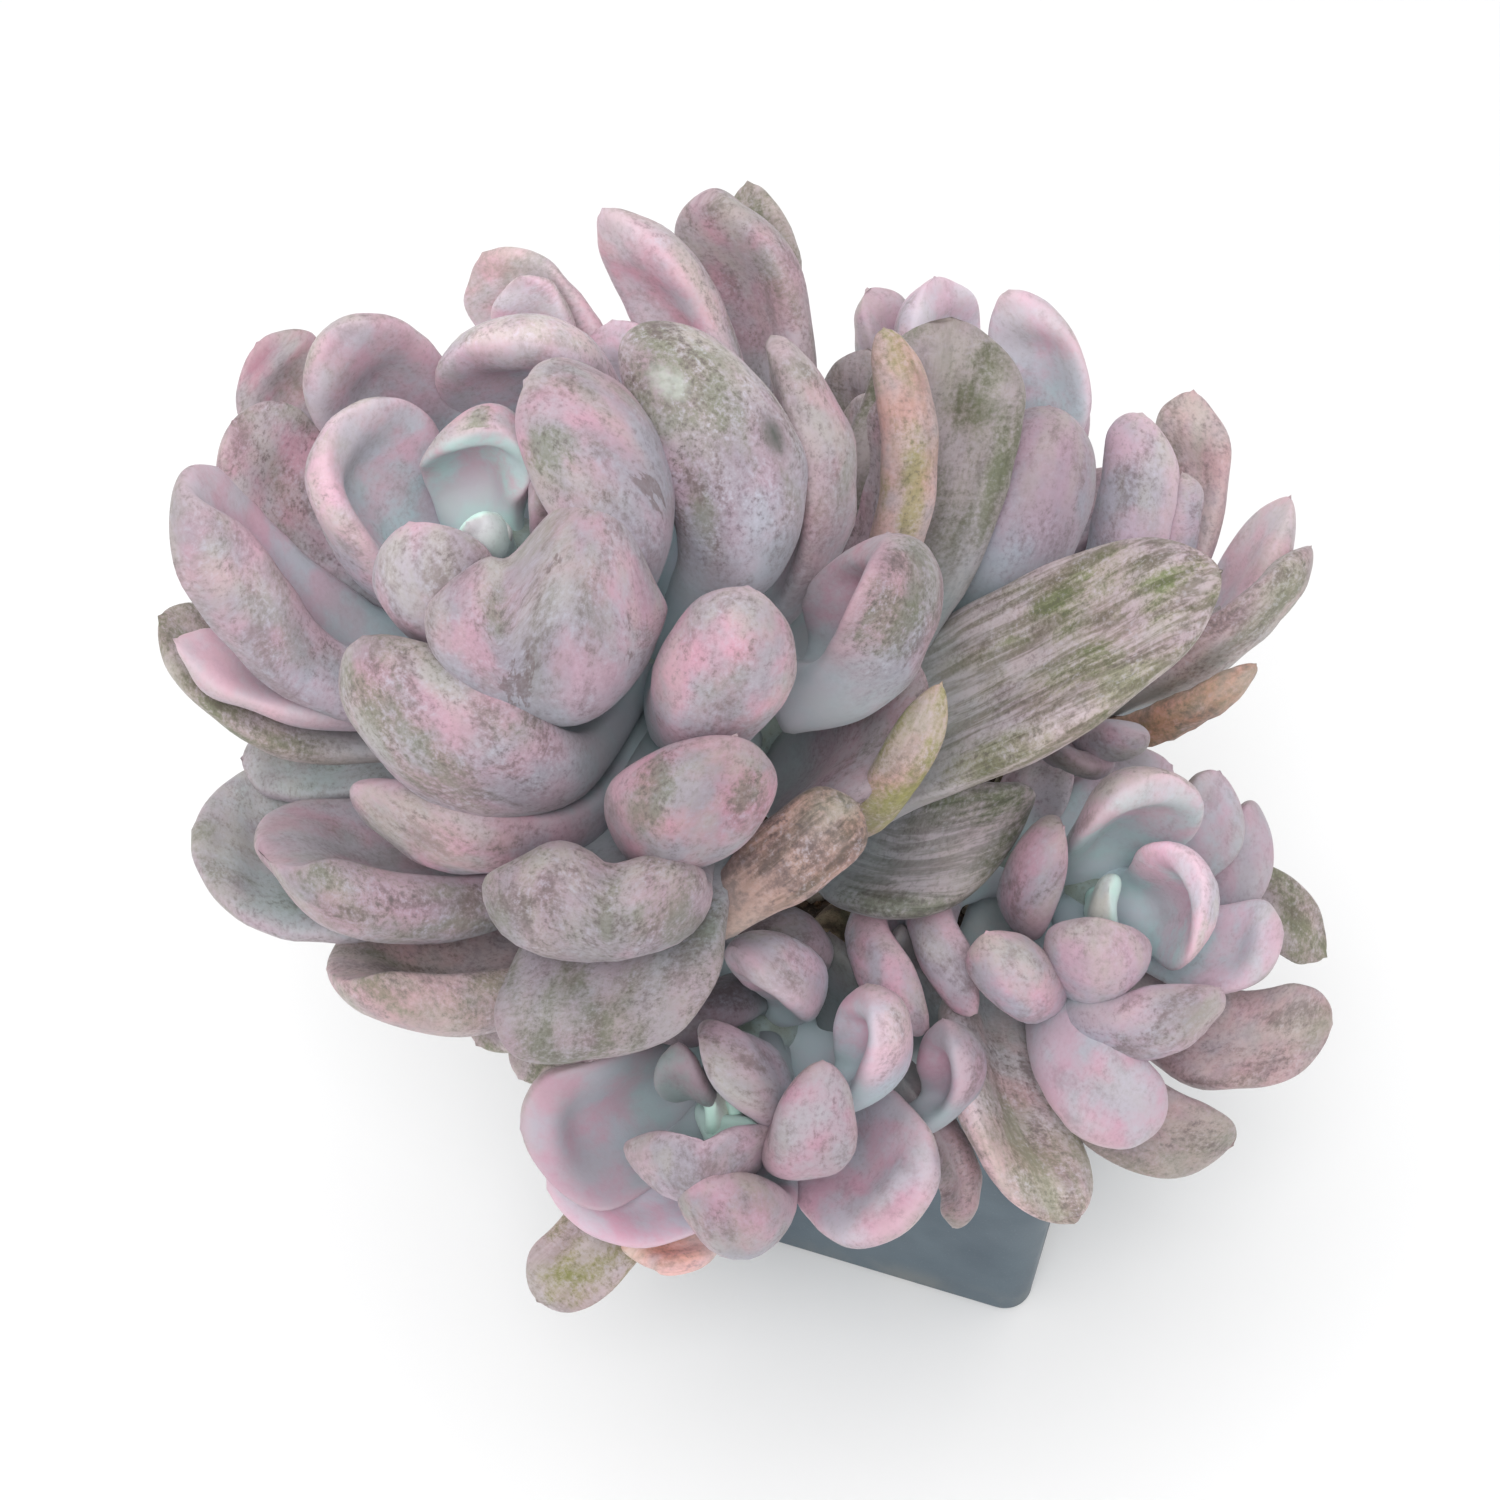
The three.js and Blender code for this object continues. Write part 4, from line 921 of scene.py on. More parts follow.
class SkinTree:
    """The skin's node group while it is made, with the values and masks that its steps share."""

    def __init__(self):
        self.tree, self.given, self.result = new_group(
            "powdery skin",
            [(label, "Color", value) for label, value in SKIN_COLOURS]
            + [(label, "Float", value) for label, value in SKIN_AMOUNTS],
            [("Colour", "Color"), ("Roughness", "Float"), ("Relief", "Float")],
        )
        self.along, self.spread, self.face = self.read("place")
        self.blush, self.rubbed, self.olive = self.read("mood")
        self.dried, self.pale, self.mint = self.read("age")
        self.scuffed, self.both, self.tone = self.read("wear")
        self.hole, self.bare, self.stained = self.read("marks")
        self.spot = put(self.tree, "Attribute", _attribute_name="spot").outputs["Vector"]
        longer = put(self.tree, "VectorMath", _operation="MULTIPLY", i0=self.spot, i1=(1.0, 1.0, 0.45))
        self.long_spot = longer.outputs[0]
        size = self.given["Grain Size"]
        self.grain = use(self.tree, grains, Place=self.spot, Size=size, Detail=5.0)["Relief"]
        self.coarse = use(self.tree, grains, Place=self.moved(self.spot, 9, -70, 2), Size=1.3)["Relief"]
        self.make_masks()

    def make_masks(self):
        self.inside = self.step(self.face, -0.3, 0.5)
        self.outside = self.maths("MAXIMUM", self.maths("SUBTRACT", 1.0, self.inside), self.both)
        wide = self.step(self.maths("ABSOLUTE", self.spread), 0.72, 1.0)
        rim = self.maths("MAXIMUM", wide, self.step(self.along, 0.9, 1.0))
        self.rim = self.times(rim, self.step(self.maths("ABSOLUTE", self.face), 0.8, 0.1))
        self.worn = self.times(self.step(self.along, 0.2, 0.6), self.times_plus(self.outside, 0.9, 0.1))
        self.tipward = self.step(self.along, 0.5, 0.95)

    def read(self, name):
        value = put(self.tree, "Attribute", _attribute_name=name).outputs["Vector"]
        return put(self.tree, "SeparateXYZ", Vector=value).outputs

    def maths(self, what, a, b=0.0):
        return maths(self.tree, what, a, b)

    def times_plus(self, a, b, c):
        """a times b, and c added."""
        return maths(self.tree, "MULTIPLY_ADD", a, b, c)

    def times(self, first, *others):
        for other in others:
            first = self.maths("MULTIPLY", first, other)
        return first

    def step(self, value, low, high, to_low=0.0, to_high=1.0):
        return ramp(self.tree, value, low, high, to_low, to_high)

    def moved(self, spot, x, y, z):
        return put(self.tree, "VectorMath", _operation="ADD", i0=spot, i1=(x, y, z)).outputs[0]

    def cloud(self, shift, size, cover, soft, broken=0.0, long=False):
        """Soft clouds, which a grain may break up; long ones are drawn out along the leaf."""
        place = self.moved(self.long_spot if long else self.spot, *shift)
        made = use(
            self.tree, patches, Place=place, Size=size, Cover=cover, Soft=soft, Grain=self.grain, Break=broken
        )
        return made["Mask"]

    def over(self, colour, other, amount, how="MIX"):
        """Another colour laid over the first by an amount."""
        return blend(self.tree, amount, colour, other, how)


print("what a leaf stores:", ["place", "mood", "age", "wear", "marks", "spot"])

# %% [markdown]
# ## Flesh, powder and blush
# Under the powder the flesh is cool, and minty in young leaves. It shows at the root,
# and further up on the inner face and on pale leaves. The powder over it is lilac,
# with pink in broad soft clouds that are strongest towards the tip and on the rim.
# Thin layers of real powder could be built as coats, but mixed colours look the same
# and can be painted to a map.

# %% Flesh, powder and blush


def flesh_and_powder(here):
    reach = here.times_plus(here.pale, here.times(here.inside, 0.45), here.times(here.pale, 0.16))
    reach = here.times_plus(here.mint, 0.5, reach)
    powdered = here.step(here.maths("SUBTRACT", here.along, reach), 0.1, 0.6)
    flesh = here.over(FLESH, MINT, here.mint)
    colour = here.over(flesh, here.given["Lilac"], powdered)
    # The inner faces get a pale colour that is partly their own and partly painted light, lifting the shade
    # that falls in the hollows
    colour = here.over(colour, INNER_PALE_AND_PAINTED_LIGHT, here.times(here.inside, powdered, 0.8))
    colour = here.over(colour, POWDER, here.times(here.cloud((31, 5, 9), 9.0, 0.42, 0.18), 0.4))
    return here.over(colour, WARM, here.times(here.tipward, here.outside, 0.4))


def pink_blush(here, colour):
    high = here.step(here.along, 0.2, 0.8, 0.2, 1.0)
    amount = here.times(here.cloud((-12, 40, 3), 9.0, 0.5, 0.14, 0.15), high, here.blush)
    colour = here.over(colour, here.given["Pink"], amount)
    rim = here.times(here.rim, here.times_plus(here.blush, 0.75, 0.1), 0.75)
    return here.over(colour, RIM_PINK, rim)


SKIN_LAYERS = [pink_blush]
print("layers over the flesh and powder:", len(SKIN_LAYERS))

# %% [markdown]
# ## Age and stains
# Half-rubbed powder looks mauve, dried leaves turn tan and brown, and towards the tip
# lie cream and olive clouds with mossy cores. Each is a cloud mask, held to where it
# belongs by the masks of wear, and weighed by what the leaf says of itself. Stains
# that the leaf carries as marks join the olive.

# %% Age and stains


def aged(here, colour):
    amount = here.times(here.cloud((-44, 13, 21), 7.0, 0.5, 0.2, 0.3, long=True), here.worn, here.rubbed)
    colour = here.over(colour, MAUVE, here.times(amount, 0.6))
    brown = here.over(here.given["Dried"], BARK_BROWN, here.cloud((5, 5, 5), 4.0, 0.45, 0.15, 0.6))
    return here.over(colour, brown, here.times(here.dried, 0.85))


def cream_and_olive(here, colour):
    cream = here.cloud((15, -52, 33), 7.0, 0.42, 0.16, 0.25, long=True)
    colour = here.over(colour, CREAM, here.times(cream, here.worn, here.tipward, 0.6))
    high = here.step(here.along, 0.3, 0.8, 0.35, 1.0)
    olive = here.cloud((77, -8, 60), 7.0, 0.42, 0.14, 0.4, long=True)
    olive = here.times(olive, here.worn, here.olive, high)
    uneven = here.maths("ADD", here.times(here.cloud((22, 61, -9), 3.0, 0.5, 0.3), 0.5), here.grain)
    smeared = here.times(here.step(here.times(here.stained, uneven), 0.25, 0.8), 0.85)
    olive = here.maths("MAXIMUM", olive, smeared)
    colour = here.over(colour, here.given["Olive"], here.times(olive, 0.75))
    moss = here.times(here.cloud((77, -8, 60), 7.0, 0.24, 0.1, 0.5, long=True), olive)
    return here.over(colour, here.given["Moss"], here.times(moss, 0.6))


SKIN_LAYERS += [aged, cream_and_olive]
print("layers over the flesh and powder:", len(SKIN_LAYERS))

# %% [markdown]
# ## Smudges, streaks and scuffs
# Small dark blotches of brown grain lie in the rubbed powder, old leaves are streaked
# along their length, and a scuff is a place with ragged edges where the powder was
# wiped off. The scuff's edge comes from streaks and grain together, because a plain
# soft spot would look like a shadow.

# %% Smudges, streaks and scuffs


def smudged(here, colour):
    dark = here.cloud((60, -3, 81), 4.2, 0.26, 0.12, 0.5, long=True)
    return here.over(colour, BROWN, here.times(dark, here.worn, here.rubbed, here.given["Smudges"]))


def streaked(here, colour):
    line = use(here.tree, streaks, Place=here.spot, Spacing=1.5, Length=15.0, Cover=0.5)["Mask"]
    line = here.times(line, here.given["Streaks"], here.step(here.along, 0.2, 0.5), 0.6)
    return here.over(colour, here.given["Olive"], line, "MULTIPLY")


def scuffed(here, colour):
    place = here.moved(here.spot, 3, 66, 1)
    ragged = use(here.tree, streaks, Place=place, Spacing=1.3, Length=5.0, Cover=0.5)["Mask"]
    edge = here.maths("ADD", here.coarse, here.times(ragged, 0.45))
    scuff = here.step(here.times(here.scuffed, edge), 0.45, 0.62)
    return here.over(colour, BROWN, here.times(scuff, 0.65))


SKIN_LAYERS += [smudged, streaked, scuffed]
print("layers over the flesh and powder:", len(SKIN_LAYERS))

# %% [markdown]
# ## Salt and pepper
# Seen close, the skin is speckled: dark grains where powder is gone and pale ones
# where it is thick, gathered in drifts. One fine noise gives both, its high places
# for the dark grains and its low ones for the pale, so that they never meet. Last
# come the hole, the bare patch, and how light or dark the whole leaf is, which is
# partly the leaf's own tone and partly painted light that lifts leaves lying in
# shade and darkens well lit ones.

# %% Salt, pepper and marks


def salt_and_pepper(here, colour):
    rubbed = here.times(here.worn, here.rubbed)
    drift = here.times(here.cloud((40, -21, 13), 6.0, 0.46, 0.22), rubbed)
    drift = here.maths("MAXIMUM", drift, here.times(here.stained, 0.8))
    thickness = here.times_plus(drift, 0.55, here.times(here.worn, 0.1))
    pepper = here.times(here.step(here.grain, 0.5, 0.66), thickness)
    colour = here.over(colour, here.given["Grain"], pepper)
    drift = here.times(here.cloud((-61, 4, -37), 6.0, 0.5, 0.2), rubbed)
    salt = here.times(here.step(here.grain, 0.5, 0.34), here.times_plus(drift, 0.4, 0.06))
    return here.over(colour, POWDER, salt)


def marked(here, colour):
    colour = here.over(colour, HOLE, here.times(here.hole, 0.9))
    wiped = here.times(here.bare, here.maths("ADD", here.coarse, here.times(here.grain, 0.6)))
    colour = here.over(colour, BARE, here.times(here.step(wiped, 0.3, 0.9), 0.55))
    # Painted light as well as tone: the whole leaf is lightened or darkened, lifting leaves in shade and
    # darkening well lit ones
    shade = here.times_plus(here.tone, 0.5, 0.92)
    return put(here.tree, "HueSaturation", Value=shade, Color=colour).outputs[0]


SKIN_LAYERS += [salt_and_pepper, marked]
print("layers over the flesh and powder:", len(SKIN_LAYERS))

# %% The whole skin


def make_skin():
    here = SkinTree()
    colour = flesh_and_powder(here)
    for layer in SKIN_LAYERS:
        colour = layer(here, colour)
    roughness = here.times_plus(here.worn, -0.06, here.times_plus(here.grain, 0.2, 0.47))
    relief = here.times_plus(here.grain, 0.4, here.times(here.coarse, 0.6))
    here.tree.links.new(colour, here.result["Colour"])
    here.tree.links.new(roughness, here.result["Roughness"])
    here.tree.links.new(here.times_plus(here.hole, -1.5, relief), here.result["Relief"])
    return here.tree


skin = make_skin()
print("powdery skin has", len(skin.nodes), "nodes")

# %% [markdown]
# ## Leaf materials
# The young heads are pinker, old leaves are striped with green, and some have dried
# or ripened to tan. Each could have a material built from nothing. All of them wear
# the one skin group with colours of their own instead, so that their grain and wear
# stay alike. The powder's soft edge light is sheen on the shader itself.

# %% Leaf materials


def new_material(name):
    material = bpy.data.materials.new(name)
    material.use_nodes = True
    tree = material.node_tree
    return material, tree, tree.nodes["Principled BSDF"]


def finish(tree, shader, colour, roughness, relief, strength, depth):
    """Links a colour, a roughness and a fine relief, which is depth metres deep, to a shader."""
    bump = put(tree, "Bump", Strength=strength, Distance=depth, Height=relief)
    tree.links.new(colour, shader.inputs["Base Color"])
    tree.links.new(roughness, shader.inputs["Roughness"])
    tree.links.new(bump.outputs[0], shader.inputs["Normal"])


def leaf_material(name, relief=0.00012, **values):
    material, tree, shader = new_material(name)
    made = use(tree, skin, **values)
    finish(tree, shader, made["Colour"], made["Roughness"], made["Relief"], 0.5, relief)
    shader.inputs["Sheen Weight"].default_value = 0.12
    shader.inputs["Sheen Roughness"].default_value = 0.6
    shader.inputs["Specular IOR Level"].default_value = 0.35
    return material


LEAF_MATERIALS = {
    "plain": leaf_material("powdery leaf"),
    "young": leaf_material(
        "young leaf", Smudges=1.0,
        Lilac=srgb(160, 160, 178), Pink=srgb(212, 164, 184), Olive=srgb(128, 130, 112),
        Grain=srgb(98, 86, 94),
    ),
    "green": leaf_material(
        "olive leaf", Streaks=0.3,
        Lilac=srgb(172, 170, 160), Pink=srgb(202, 164, 166), Olive=srgb(120, 126, 92),
    ),
    "striped": leaf_material(
        "striped leaf", Streaks=1.0,
        Lilac=srgb(186, 180, 172), Olive=srgb(134, 138, 92), Moss=srgb(102, 124, 62),
    ),
    "dark": leaf_material(
        "old green leaf", Streaks=0.8, Lilac=srgb(150, 164, 160), Olive=srgb(106, 120, 86),
    ),
    "dry": leaf_material(
        "shrivelled leaf", Streaks=0.9, relief=0.0002, Dried=srgb(200, 156, 134),
    ),
    "finger": leaf_material(
        "ripe finger leaf", Streaks=0.3,
        Lilac=srgb(202, 174, 158), Pink=srgb(220, 158, 146), Olive=srgb(152, 150, 80),
        Moss=srgb(142, 148, 50), Dried=srgb(206, 144, 112),
    ),
}
print("leaf materials:", [material.name for material in LEAF_MATERIALS.values()])

# %% [markdown]
# ## Making the leaves
# On the plant every leaf is a thing of its own, and so is each large one here, which
# keeps its fine grain when its skin is painted to a map. If every small leaf were a
# piece too, there would be too many maps. Up to five small leaves that grow one after
# another share a piece, and so one map.

# %% Pieces of the plant
SLOTS = {
    "rosette_main": "leaf_lilac", "rosette_back": "leaf_lilac", "rosette_right": "leaf_pink",
    "rosette_front": "leaf_pink", "rosette_side": "leaf_tan",
}
PLAIN_KINDS = {name: "plain" if name == "rosette_main" else "young" for name in HEADS}
SMALL_LEAF = 24
MOST_SHARED = 5
SEED_STEP = 17


def joined(parts):
    """Several meshes as one: its points, its faces and the values on its points."""
    points, faces, values = [], [], {}
    for part_points, part_faces, part_values in parts:
        start = len(points)
        points.extend(np.asarray(part_points).tolist())
        faces.extend([[start + k for k in face] for face in part_faces])
        for label, value in part_values.items():
            values.setdefault(label, []).append(value)
    return points, faces, {label: np.concatenate(value) for label, value in values.items()}


def new_piece(name, slot, node, material, points, faces, values):
    """A smooth piece from points in mm, which stands for a CAD node and rides on its body."""
    mesh = bpy.data.meshes.new(name)
    mesh.from_pydata((np.asarray(points) * MM).tolist(), [], faces)
    for label, value in values.items():
        layer = mesh.attributes.new(label, "FLOAT_VECTOR", "POINT")
        layer.data.foreach_set("vector", np.asarray(value, np.float32).ravel())
    mesh.materials.append(material)
    mesh.shade_smooth()
    mesh.update()
    piece = bpy.data.objects.new(name, mesh)
    bpy.context.scene.collection.objects.link(piece)
    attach(piece, "root")
    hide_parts(node)
    return piece


print("leaves narrower than", SMALL_LEAF, "mm share a piece, at most", MOST_SHARED)

# %% Leaves of every head


def leaves_of(name):
    """The leaves of a head: the seen ones from the table, then the far ones round the axis."""
    head, leaves = Head(name), []
    for look, tip, belly, level, width, thick, cup, form in LEAVES[name]:
        leaves.append({
            "look": look, "tip": seen(*tip), "belly": seen(*belly), "level": level,
            "width": width, "thick": thick, "cup": cup, "form": form,
        })
    draw = np.random.RandomState(len(name))
    for degrees, level, reach, rise, width, thick, cup in FAR_LEAVES[name]:
        turn = math.radians(degrees)
        out = head.radial(turn)
        leaves.append({
            "look": ["lilac", "olive", "mauve", "lilac"][draw.randint(4)],
            "tip": head.at(level) + out * reach + head.axis * rise,
            "belly": head.at(level) + out * 0.7 * reach + head.axis * 0.35 * rise,
            "level": level, "width": width, "thick": thick, "cup": cup, "form": {"turn": turn},
        })
    return head, leaves


def shared_pieces(leaves, plain):
    """Leaf numbers grouped into pieces: small leaves side by side share one."""
    groups = []
    for i, leaf in enumerate(leaves):
        kind = KINDS.get(leaf["look"], plain)
        can_join = leaf["width"] < SMALL_LEAF and kind == plain
        if can_join and groups and groups[-1]["open"] and len(groups[-1]["leaves"]) < MOST_SHARED:
            groups[-1]["leaves"].append(i)
        else:
            groups.append({"leaves": [i], "open": can_join, "kind": kind})
    return groups


def make_leaves(name):
    head, leaves = leaves_of(name)
    made = []
    for number, group in enumerate(shared_pieces(leaves, PLAIN_KINDS[name]), 1):
        parts = [leaf_surface(head, leaves[i], seed=SEED_STEP * i + len(name)) for i in group["leaves"]]
        label, material = f"{name}_leaf_{number:02d}", LEAF_MATERIALS[group["kind"]]
        made.append(new_piece(label, SLOTS[name], name, material, *joined(parts)))
    return made


leaf_pieces = {name: make_leaves(name) for name in HEADS}
print("leaf pieces:", {name: len(made) for name, made in leaf_pieces.items()})

# %% [markdown]
# ## Round stems
# The woody stem, its branches and the fleshy cores are all round things that bend.
# Curve objects with a bevel could make them, but not the uneven rings where old
# leaves fell off. One function sweeps a circle along a smoothed line and moves lumps
# and rings of scars into its points.

# %% Sweep with leaf scars
STEM_AROUND = 24
SCAR_DEPTH = 0.35
SCAR_SPACING = 4.2
SMOOTHINGS = 6


def sweep(line, radii, seed):
    """A closed round sweep along points, with uneven rings of leaf scars."""
    line, radii = np.array(line, float), np.array(radii, float)
    reach = np.concatenate([[0], np.cumsum(np.linalg.norm(np.diff(line, axis=0), axis=1))])
    steps = max(8, int(reach[-1]))
    s = np.linspace(0, reach[-1], steps)
    path = np.stack([np.interp(s, reach, line[:, k]) for k in range(3)], -1)
    for _ in range(SMOOTHINGS):
        path[1:-1] = (path[:-2] + 2 * path[1:-1] + path[2:]) / 4
    radius = np.interp(s, reach, radii)[:, None]
    along = unit(np.gradient(path, axis=0))
    aside = np.array([0.3, 1, 0.1])
    side = unit(aside - along * (along @ aside)[:, None])
    other = np.cross(along, side)
    a = 2 * math.pi * np.arange(STEM_AROUND) / STEM_AROUND
    ring = side[:, None] * np.cos(a)[None, :, None] + other[:, None] * np.sin(a)[None, :, None]
    even = path[:, None] + ring * radius[..., None]
    rough = waves(even, seed, 5.0, 5) * 0.05 + waves(even, seed + 3, 1.8, 5) * 0.025
    turns = s[:, None] / SCAR_SPACING * math.pi + 1.2 * waves(even, seed + 9, 9.0)
    scars = np.abs(np.sin(turns)) ** 0.5 - 0.8
    size = radius * (1 + rough) + SCAR_DEPTH * scars
    points = capped(path[0], path[:, None] + ring * size[..., None], path[-1])
    ids = 1 + np.arange(steps * STEM_AROUND).reshape(steps, STEM_AROUND)
    last = len(points) - 1
    faces = ring_quads(ids)
    faces += [[0, b, a] for a, b in zip(ids[0], np.roll(ids[0], -1))]
    faces += [[a, b, last] for a, b in zip(ids[-1], np.roll(ids[-1], -1))]
    return points, faces, {}


print("rings of scars lie", SCAR_SPACING, "mm apart")

# %% [markdown]
# ## Bark
# The stem's bark is brown and grey with a little green left in it, and dry. A picture
# of bark could be wrapped round, but it would stretch at the bends. Clouds and grains
# in the object's own millimetres have no seams. The small helpers here, which read
# one mask or lay one colour over another, serve the other finishes too.

# %% Bark and the helpers for simple finishes


def object_spot(tree):
    """The object's own place in millimetres."""
    place = put(tree, "TexCoord").outputs["Object"]
    return put(tree, "VectorMath", _operation="SCALE", i0=place, Scale=1 / MM).outputs[0]


def patch_mask(tree, at, size, cover, soft):
    return use(tree, patches, Place=at, Size=size, Cover=cover, Soft=soft)["Mask"]


def laid_over(tree, colour, other, mask, amount):
    """Another colour laid over the first where the mask is, by some amount."""
    return blend(tree, maths(tree, "MULTIPLY", mask, amount), colour, other)


def bark_material():
    material, tree, shader = new_material("scarred bark")
    at = object_spot(tree)
    colour = blend(tree, patch_mask(tree, at, 4.0, 0.5, 0.12), srgb(92, 76, 60), srgb(158, 138, 112))
    colour = laid_over(tree, colour, srgb(128, 134, 108), patch_mask(tree, at, 9.0, 0.45, 0.1), 0.5)
    speck = use(tree, grains, Place=at, Size=0.6, Density=0.45)
    colour = laid_over(tree, colour, srgb(60, 50, 42), speck["Mask"], 0.6)
    roughness = maths(tree, "MULTIPLY_ADD", speck["Relief"], 0.3, 0.65)
    finish(tree, shader, colour, roughness, speck["Relief"], 0.7, 0.0003)
    return material


bark = bark_material()
print("bark nodes:", len(bark.node_tree.nodes))

# %% [markdown]
# ## Stem and branches
# A short trunk stands in the soil, and from its top a branch runs to each head. They
# could be one skin, but nobody sees where they part under the leaves, so that simple
# sweeps that start inside the trunk are enough.

# %% Stem
SOIL_TOP = 76
TRUNK_LINE = [(0, 0, 58.5), (0, 0, 68), (0, 0, SOIL_TOP + 6), (-1, -1, SOIL_TOP + 12)]
TRUNK_RADII = [6.1, 7, 6.9, 5]
BRANCH_START = (0, 0, SOIL_TOP + 8)
MAIN_BRANCH, SIDE_BRANCH = 6.6, 4.4


def make_stem():
    parts = [sweep(TRUNK_LINE, TRUNK_RADII, 5)]
    for i, name in enumerate(HEADS):
        head = Head(name)
        thick = MAIN_BRANCH if name == "rosette_main" else SIDE_BRANCH
        thin = head.core * 0.84
        whole = np.linalg.norm(head.heart - head.foot)
        middle = head.at((head.leafy + whole) / 2 + 2)
        line = [BRANCH_START, middle, head.at(head.leafy - 2)]
        parts.append(sweep(line, [thick, (thick + thin) / 2, thin], 40 + i))
    return new_piece("stem_and_branches", "stem_bark", "stem", bark, *joined(parts))


stem_piece = make_stem()
print("stem:", len(stem_piece.data.polygons), "faces")

# %% [markdown]
# ## Cores
# Each head has a fleshy core that its leaves leave from. Deep in the gaps it is the
# same cool green as the leaf roots, so a bark core would look like a dark hole. It is
# a sweep like the stem, in a paler material of its own.

# %% Cores of the heads


def green_core_material():
    material, tree, shader = new_material("green core")
    at = object_spot(tree)
    colour = blend(tree, patch_mask(tree, at, 5.0, 0.5, 0.16), srgb(150, 160, 150), srgb(168, 184, 182))
    speck = use(tree, grains, Place=at, Size=0.7, Density=0.4)
    colour = laid_over(tree, colour, srgb(112, 112, 92), speck["Mask"], 0.5)
    roughness = maths(tree, "MULTIPLY_ADD", speck["Relief"], 0.2, 0.5)
    finish(tree, shader, colour, roughness, speck["Relief"], 0.5, 0.0002)
    return material


def make_core(name, material, seed):
    head = Head(name)
    line = [head.at(0.5), head.at(6), head.at(head.leafy * 0.5), head.at(head.leafy)]
    radii = [head.core * share for share in (0.3, 0.7, 0.93, 0.88)]
    return new_piece(name + "_core", SLOTS[name], name, material, *sweep(line, radii, seed))


green_core = green_core_material()
cores = [make_core(name, green_core, 70 + i) for i, name in enumerate(HEADS)]
print("cores:", len(cores))

# %% [markdown]
# ## The pot's form
# The pot is thin moulded plastic: a rounded square that widens a little upwards,
# with a turned-out rim. A box with a bevel would give the outside, but not the
# hollow with its own draft. The form is lofted through rounded squares, outside up
# and inside down, in one closed skin.

# %% Rounded squares and the loft
POT = {
    "height": 85, "base": 74.5, "top": 80, "base_round": 5.5, "top_round": 9, "wall": 2.6,
    "floor": 3, "rim": 7, "rim_out": 1.1, "drain": 4, "drain_at": 17,
}
POT_TURN = math.radians(-18.6)
CORNER_STEPS, SIDE_STEPS = 12, 10
RING = 4 * (CORNER_STEPS + SIDE_STEPS)


def rounded_square(side, corner):
    """Points round a square with round corners, with some along the straight sides."""
    h = side / 2 - corner
    middles = np.array([[h, h], [-h, h], [-h, -h], [h, -h]], float)
    points = []

    def on_corner(k, a):
        return middles[k % 4] + corner * np.array([math.cos(a), math.sin(a)])

    for k in range(4):
        start = math.pi / 2 * k
        for i in range(CORNER_STEPS + 1):
            points.append(on_corner(k, start + math.pi / 2 * i / CORNER_STEPS))
        first, last = points[-1], on_corner(k + 1, start + math.pi / 2)
        for i in range(1, SIDE_STEPS):
            points.append(first + (last - first) * i / SIDE_STEPS)
    return np.array(points)


def as_the_pot_stands(points):
    """Points turned about the vertical by the pot's turn."""
    c, s = math.cos(POT_TURN), math.sin(POT_TURN)
    x, y, z = np.asarray(points, float).T
    return np.stack([x * c - y * s, x * s + y * c, z], -1)


def loft(layers, ends=(0, -1)):
    """A skin through rounded squares, with a lid on the first and on the last of them."""
    rings = [np.column_stack([rounded_square(side, corner), np.full(RING, z)]) for z, side, corner in layers]
    points = list(np.concatenate(rings))
    ids = np.arange(len(points)).reshape(-1, RING)
    faces = ring_quads(ids)
    for end in ends:
        centre = len(points)
        points.append(np.array([0, 0, layers[end][0]]))
        for a, b in zip(ids[end], np.roll(ids[end], -1)):
            faces.append([centre, b, a] if end == 0 else [centre, a, b])
    return np.array(points), faces


print("a rounded square has", len(rounded_square(POT["top"], POT["top_round"])), "points")

# %% The pot's layers


def side_at(z):
    return POT["base"] + (POT["top"] - POT["base"]) * z / POT["height"]


def round_at(z):
    return POT["base_round"] + (POT["top_round"] - POT["base_round"]) * z / POT["height"]


